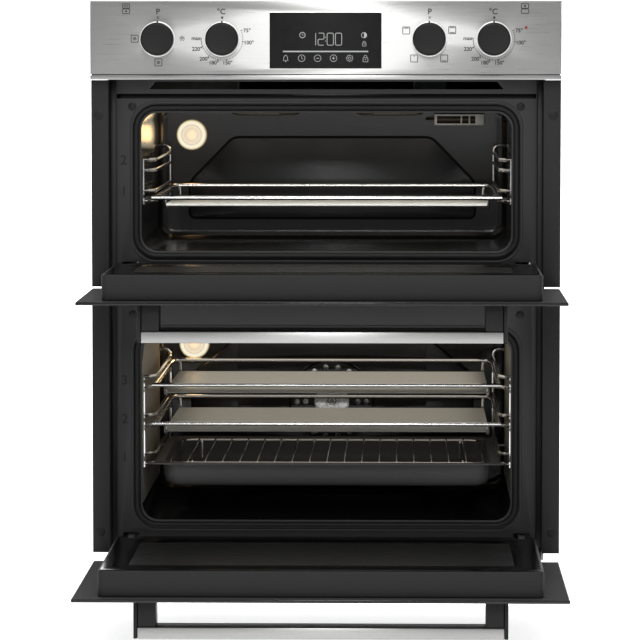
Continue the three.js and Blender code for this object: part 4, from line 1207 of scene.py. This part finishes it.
class OVEN_OT_fan(bpy.types.Operator):
    """Pierced fan cover with the convection fan behind it."""

    bl_idname = "oven.fan"
    bl_label = "Convection fan"

    COVER = (-130, 130, 68, 268)  # x and z of the cover's sides
    RIM = [(55.5, -2.2), (58.3, -2.2), (59.6, 0.4), (59.8, 1.6), (58.6, 1.9), (57.2, 0.6), (56.2, -0.6)]
    DISC = [(4, 0), (56, 0), (56, 0.8), (10, 0.8), (9, 6), (4, 6)]
    NUT = [(0, 0), (7, 0), (7, 5), (5.5, 6.5), (0, 6.5)]
    BLADES, BLADE_PITCH = 12, 24

    def execute(self, context):
        x0, x1, z0, z1 = self.COVER
        outline = rounded(x0, x1, z0, z1, 16)
        inner = rounded(x0 + 1.5, x1 - 1.5, z0 + 1.5, z1 - 1.5, 14.5)
        cover = plate(outline, 2.0, [circle(0, FAN_AXIS, 58, 72)], 0.6)
        cover.transform(at(y=FAN_COVER) @ UPRIGHT)
        loops = ((outline, FAN_COVER + 0.2), (outline, WALL_FACE), (inner, WALL_FACE), (inner, FAN_COVER + 1))
        skirt = loft([[(x, y, z) for x, z in points] for points, y in loops], False)
        piece("fan_cover", together(cover, skirt), "enamel", ["fan_cover"])
        holes = {"Outer_Ring": 48.0, "Outer_Count": 18, "Inner_Ring": 36.0, "Inner_Count": 12}
        sizes = {"Radius": 56.0, "Hole": 4.0, "Centre_Hole": 24.0, "Thickness": 1.4}
        grille = grown(bmesh.new(), TREES["pierced"], LOOKS["enamel"], **holes, **sizes)
        rim = lathe(self.RIM, 72, True)
        disc = lathe(self.DISC, 48, True)
        nut = lathe(self.NUT, 6)
        for form, y in ((grille, 410.4), (rim, 407.6), (disc, 434.4), (nut, 430)):
            form.transform(at(0, y, FAN_AXIS) @ UPRIGHT)
        piece("fan_grille", together(grille, rim), "enamel")
        blade = brick((26, 414.6, -0.5), (55, 433.4, 0.5), 0.15, 1)
        blade.transform(Matrix.Rotation(math.radians(self.BLADE_PITCH), 4, "Y"))
        blades = in_a_ring(blade, "fan_steel", self.BLADES)
        blades.transform(at(z=FAN_AXIS))
        name = "convection_fan"
        piece(name, together(disc, blades, nut), "fan_steel", [name], name)
        return {"FINISHED"}


class OVEN_OT_lamps(bpy.types.Operator):
    """Pressed lamp glasses with lugs, and the capillary probe in its bracket."""

    bl_idname = "oven.lamps"
    bl_label = "Lamps and probe"

    GLASS = [
        (0, -13), (19, -13), (20.6, -1), (21, 0.5), (21, 4.2), (20.4, 5.2), (18.6, 6.4), (18, 9.2),
        (17.2, 10.1), (15.6, 10.2), (14.9, 9.4), (13.8, 9.6), (12.6, 10.9), (8, 11.6), (0, 12),
    ]
    BULB = [(0, 0), (2.6, 0.8), (4.2, 2.6), (4.6, 5), (4.6, 60), (4.2, 62.4), (2.2, 64), (1.6, 66), (0, 66)]
    TAIL = ((143, 430, 0), (134, 430, 0), (130, 436, 0.2), (130, 443.6, 0.6))

    def execute(self, context):
        for level, (x, z) in LAMPS.items():
            glass = lathe(self.GLASS, 64)
            for angle in QUARTERS:
                lug = brick((18, -1.8, 4.6), (20.9, 1.8, 7.0), 0.5)
                absorb(glass, lug, Matrix.Rotation(math.radians(angle + 45), 4, "Z"))
            glass.transform(at(x, BACK_WALL, z) @ UPRIGHT)
            piece(f"{level}_lamp_glass", glass, "lamp_" + level, [f"{level}_lamp_glass"])
        self.probe()
        return {"FINISHED"}

    def probe(self):
        """The bulb with its tail, and the ceramic bracket around it."""
        bulb = lathe(self.BULB, 32)
        bulb.transform(at(208, 430, PROBE_HEIGHT) @ Matrix.Rotation(-math.pi / 2, 4, "Y"))
        tail = wires([bent([(x, y, PROBE_HEIGHT + rise) for x, y, rise in self.TAIL], 5)], 1.3)
        piece("temperature_probe", together(bulb, tail), "sheath", ["temperature_probe"])
        rails = []
        for z in (548.6, 561.2):
            rails.append(brick((141, 423.5, z), (206, 425.0, z + 2.6), 0.4))
            rails.append(brick((141, 424.4, z + 0.6), (206, WALL_FACE, z + 2.0), 0.4))
        for x0, x1 in ((141, 144.5), (177, 179), (188, 190), (197, 209)):
            rails.append(brick((x0, 423.4, 548.6), (x1, 425.1, 563.8), 0.4))
        piece("probe_bracket", together(*rails), "probe")


class OVEN_OT_doors(bpy.types.Operator):
    """Both drop-down doors, drawn closed and laid open: glass, body, inner pane and handle."""

    bl_idname = "oven.doors"
    bl_label = "Doors"

    CASE_HALF, LINER_INSET, INNER_HALF = 266.5, 3.2, 231.7
    HANDLE_FALL = (62, 27)  # the bar's lower and upper edges below the door's top

    def execute(self, context):
        for level, door in DOORS.items():
            fold = at(0, *door["open"]) @ UPRIGHT
            self.glass(level, door, fold)
            self.body(level, door, fold)
            self.handle(level, door["high"], fold)
        return {"FINISHED"}

    def lay(self, name, level, form, fold, look, nodes=(), slot=None, along_x=False):
        """Turns a form drawn on the closed door to the open one, and makes it a piece of that door."""
        form.transform(fold)
        replaced = [f"{level}_door_{node}" for node in nodes]
        piece(f"{level}_door_{name}", form, look, replaced, f"{level}_door", along_x=along_x)

    def glass(self, level, door, fold):
        """The outer pane, the frit on its back and the clear window in it."""
        low, high = door["low"], door["high"]
        w0, w1 = door["window"]
        outer, half = FRONT_HALF, WINDOW_HALF
        pane = plate(rounded(-outer, outer, low, high, 2.0, 4), 4.0, [rounded(-half, half, w0, w1, 8)], 0.7)
        edge, gap = outer - 1.2, half + 0.5
        frit_hole = rounded(-gap, gap, w0 - 0.5, w1 + 0.5, 8)
        frit = plate(rounded(-edge, edge, low + 1.2, high - 1.2, 1.5, 4), 0.24, [frit_hole])
        window = plate(rounded(-half + 0.1, half - 0.1, w0 + 0.1, w1 - 0.1, 8), 3.2)
        pane.transform(at(y=PANE_MIDDLE) @ UPRIGHT)
        frit.transform(at(y=PANE_MIDDLE + 2.15) @ UPRIGHT)
        window.transform(at(y=PANE_MIDDLE) @ UPRIGHT)
        self.lay("outer_glass", level, pane, fold, "glass", ["outer_glass"])
        self.lay("frit", level, frit, fold, "frit")
        self.lay("window", level, window, fold, "window")

    def body(self, level, door, fold):
        """The case with its hinge pins, the liner and the inner pane."""
        low, high = door["low"] + 4, door["high"] - 15
        w0, w1 = door["window"]
        pin_y, pin_z = door["pin"]
        half = self.CASE_HALF
        hole = rounded(-WINDOW_HALF, WINDOW_HALF, w0, w1, 10)
        case = plate(rounded(-half, half, low, high, 7), 31.9, [hole], 2.2, 3)
        case.transform(at(y=0.25) @ UPRIGHT)
        case = cut(case, self.pockets(low, pin_z))
        pins = [[(sign * x, pin_y, pin_z) for x in (240.5, 259.5)] for sign in (-1, 1)]
        absorb(case, wires(pins, 3.0))
        self.lay("case", level, case, fold, "paint", ["panel"])
        inset = self.LINER_INSET
        outline = rounded(-half + inset + 0.1, half - inset - 0.1, low + inset, high - inset, 5)
        liner = plate(outline, 0.8, [rounded(-232, 232, w0 - 7, w1 + 7, 4)], 0.2, 1)
        liner.transform(at(y=16.6) @ UPRIGHT)
        liner = cut(liner, self.pockets(low, pin_z))
        self.lay("liner", level, liner, fold, "gloss", slot="black_painted_steel")
        inner = plate(rounded(-self.INNER_HALF, self.INNER_HALF, w0 - 6.7, w1 + 6.7, 3), 4.0, edge=0.5)
        inner.transform(at(y=15.1) @ UPRIGHT)
        self.lay("inner_glass", level, inner, fold, "coated_glass", ["inner_glass"])

    def pockets(self, low, pin_z):
        """Cutters for the two slots that the hinge arms stand in."""
        rise = (low - 6, pin_z + 22)
        return together(*[side_brick(sign, *HINGE_SLOT, (-11.7, 22), rise) for sign in (-1, 1)])

    def handle(self, level, high, fold):
        """The bar on its two posts, with the plastic strip that closes its back."""
        z0, z1 = [high - fall for fall in self.HANDLE_FALL]
        half = HANDLE_HALF
        bar = brick((-half, -67.5, z0), (half, -53.8, z1), 1.0, 3)
        self.lay("handle_bar", level, bar, fold, "brushed", ["handle_bar"], along_x=True)
        filler = brick((-half + 0.7, -54.4, z0 + 0.8), (half - 0.7, -53.1, z1 - 0.8), 0.3)
        self.lay("handle_filler", level, filler, fold, "plastic")
        for side, sign in LEFT_RIGHT:
            post = side_brick(sign, half - 22.2, half - 0.2, (-53.2, -20.3), (z0 + 1, z1 - 1), 1.2, 3)
            cap = side_brick(sign, half + 0.2, half + 4.8, (-67.4, -20.3), (z0 + 0.2, z1 - 0.2), 0.9, 3)
            self.lay(f"post_{side}", level, together(post, cap), fold, "plastic", [f"post_{side}"])


class OVEN_OT_services(bpy.types.Operator):
    """Finishes for the cabinet, liners, elements and motors, and the screws that hold the sheets."""

    bl_idname = "oven.services"
    bl_label = "Cabinet and services"

    FINISHED_NODES = {
        "zinc": (
            "base_panel", "side_panel_left", "side_panel_right", "top_cover", "rear_cover", "fan_motor",
            "cooling_fan_wheel", *[f"{level}_door_hinge_{side}" for level in DOORS for side, _ in LEFT_RIGHT],
            *[name + "_switch" for name in KNOBS],
        ),
        "sheath": ("grill_element", "ring_element"),
        "liner": ("liner_left", "liner_right"),
        "plastic": ("terminal_block",),
        "paint": ("cooling_fan_housing",),
    }
    SCREW = [(0, 1.7), (1.6, 1.65), (3.2, 1.2), (3.9, 0.3), (3.9, -0.6), (0, -0.6)]

    def execute(self, context):
        for look, nodes in self.FINISHED_NODES.items():
            for node in nodes:
                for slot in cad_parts[node].material_slots:
                    slot.material = LOOKS[look]
        gasket = plate(rounded(158, 242, 592, 648, 3), 0.8, [rounded(170.4, 229.6, 602.4, 637.6, 1)])
        gasket.transform(at(y=544.2) @ UPRIGHT)
        piece("terminal_gasket", gasket, "silicone")
        for side, sign in LEFT_RIGHT:
            outward = Matrix.Rotation(sign * math.pi / 2, 4, "Y")
            place = at(sign * 278, 70, 30) @ outward
            self.screws(f"side_screws_{side}", place, (4, (0, 0, 180)), (2, (0, 450, 0)))
        self.screws("rear_screws", at(-262, 546, 20) @ REARWARD, (5, (131, 0, 0)), (2, (0, 0, 664)))
        return {"FINISHED"}

    def screws(self, name, place, first, second):
        """Pan-head screws in a row, and that row repeated."""
        form = lathe(self.SCREW, 20)
        form.transform(place)
        for count, step in (first, second):
            form = in_a_row(form, "zinc", count, step)
        piece(name, form, "zinc")


class OVEN_OT_stage(bpy.types.Operator):
    """Camera, studio sweep, plinth and lights."""

    bl_idname = "oven.stage"
    bl_label = "Stage"

    FLOOR, SWEEP_START, SWEEP_RADIUS, SWEEP_HALF, SWEEP_TOP = -0.066, 6.0, 1.5, 8.0, 5.0
    # Each softbox: its place, what it looks at, its size and its power
    SOFTBOXES = {
        "strip_softbox": ((-0.03, -3.3, 2.35), (0, 0, 0.5), (0.44, 2.6), 50),
        "overhead_softbox": ((0, -0.9, 2.6), (0, -0.1, 0.2), (2.6, 1.2), 24),
        "sweep_light": ((0, 4.2, 4.6), (0, 6.8, 0.6), (7.0, 1.2), 420),
    }

    def execute(self, context):
        scene = context.scene
        scene.view_settings.view_transform = "Standard"
        camera = bpy.data.cameras.new("camera")
        camera.lens = 212.96
        camera.sensor_width = 36
        camera.clip_end = 50
        tilt, yaw = math.radians(90 - 4.206), math.radians(1.2336)
        scene.camera = self.stand("camera", camera, (0.0958, -5.0788, 0.6634), (tilt, 0, yaw))
        self.sweep()
        world = bpy.data.worlds.new("studio")
        world.use_nodes = True
        world.node_tree.nodes["Background"].inputs["Color"].default_value = linear("#FFFFFF")
        world.node_tree.nodes["Background"].inputs["Strength"].default_value = 0.36
        scene.world = world
        for name, settings in self.SOFTBOXES.items():
            self.softbox(name, *settings)
        for level, (x, z) in LAMPS.items():
            spot = bpy.data.lights.new(f"{level}_oven_lamp", "POINT")
            spot.energy = 0.032
            spot.color = tuple(scene.oven_colours.lamp)[:3]
            spot.shadow_soft_size = 0.012
            self.stand(f"{level}_oven_lamp", spot, TO_FRAME @ Vector((x, BACK_WALL - 24, z)))
            roof = CAVITIES[level][1] - 8
            places = [TO_FRAME @ Vector((0, 220, height)) for height in (roof, 0)]
            self.softbox(f"{level}_oven_glow", *places, (0.40, 0.34), 0.2, "#FFF6E8")
        return {"FINISHED"}

    def stand(self, name, data, place, turn=(0, 0, 0)):
        """An object of a camera or light, in its place."""
        holder = bpy.data.objects.new(name, data)
        holder.location = place
        holder.rotation_euler = turn
        bpy.context.scene.collection.objects.link(holder)
        return holder

    def softbox(self, name, place, target, size, power, colour="#FFFFFF"):
        """A rectangular light that looks at target."""
        light = bpy.data.lights.new(name, "AREA")
        light.shape = "RECTANGLE"
        light.size, light.size_y = size
        light.energy = power
        light.color = linear(colour)[:3]
        aim = (Vector(target) - Vector(place)).to_track_quat("-Z", "Y").to_euler()
        self.stand(name, light, place, aim)

    def sweep(self):
        """A pale floor that curves up into a backdrop, and a plinth that carries the oven above it."""
        floor, start, radius = self.FLOOR, self.SWEEP_START, self.SWEEP_RADIUS
        turns = [math.radians(9 * k) for k in range(1, 11)]
        profile = [(-self.SWEEP_HALF, floor), (start, floor)]
        profile += [(start + radius * math.sin(a), floor + radius * (1 - math.cos(a))) for a in turns]
        profile.append((start + radius, self.SWEEP_TOP))
        form = bmesh.new()
        rows = [[form.verts.new((x, y, z)) for x in (-self.SWEEP_HALF, self.SWEEP_HALF)] for y, z in profile]
        for a, b in zip(rows, rows[1:]):
            form.faces.new((a[0], a[1], b[1], b[0])).smooth = True
        plinth = brick((-0.24, -0.2, floor), (0.24, 0.24, -0.001), 0.004)
        for name, made in (("studio_sweep", form), ("studio_plinth", plinth)):
            mesh = bpy.data.meshes.new(name)
            made.to_mesh(mesh)
            made.free()
            mesh.materials.append(LOOKS["studio"])
            obj = bpy.data.objects.new(name, mesh)
            bpy.context.scene.collection.objects.link(obj)


class OVEN_PT_panel(bpy.types.Panel):
    """Lists the oven's operators."""

    bl_idname = "OVEN_PT_panel"
    bl_label = "Double oven"
    bl_space_type = "VIEW_3D"
    bl_region_type = "UI"
    bl_category = "Oven"

    def draw(self, context):
        for kind in PIECES:
            self.layout.operator(kind.bl_idname)
        for group in ("oven_sizes", "oven_colours"):
            settings = getattr(context.scene, group)
            for name in settings.__annotations__:
                self.layout.prop(settings, name)


PIECES = (
    OVEN_OT_stage, OVEN_OT_fascia, OVEN_OT_display, OVEN_OT_knobs, OVEN_OT_dial_prints, OVEN_OT_trims,
    OVEN_OT_front_frame, OVEN_OT_cavities, OVEN_OT_seals, OVEN_OT_racks, OVEN_OT_shelves, OVEN_OT_tray,
    OVEN_OT_fan, OVEN_OT_lamps, OVEN_OT_doors, OVEN_OT_services,
)
CLASSES = (OvenSizes, OvenColours, *PIECES, OVEN_PT_panel)
LOOKS = {}
TREES = {}


def register():
    for kind in CLASSES:
        bpy.utils.register_class(kind)
    bpy.types.Scene.oven_sizes = bpy.props.PointerProperty(type=OvenSizes)
    bpy.types.Scene.oven_colours = bpy.props.PointerProperty(type=OvenColours)


def unregister():
    del bpy.types.Scene.oven_colours
    del bpy.types.Scene.oven_sizes
    for kind in reversed(CLASSES):
        bpy.utils.unregister_class(kind)


def main():
    register()
    LOOKS.update(make_looks(bpy.context.scene.oven_colours))
    TREES.update(row=row_tree(), ring=ring_tree(), pierced=pierced_tree())
    for kind in PIECES:
        space, name = kind.bl_idname.split(".")
        getattr(getattr(bpy.ops, space), name)()


if __name__ == "__main__":
    main()
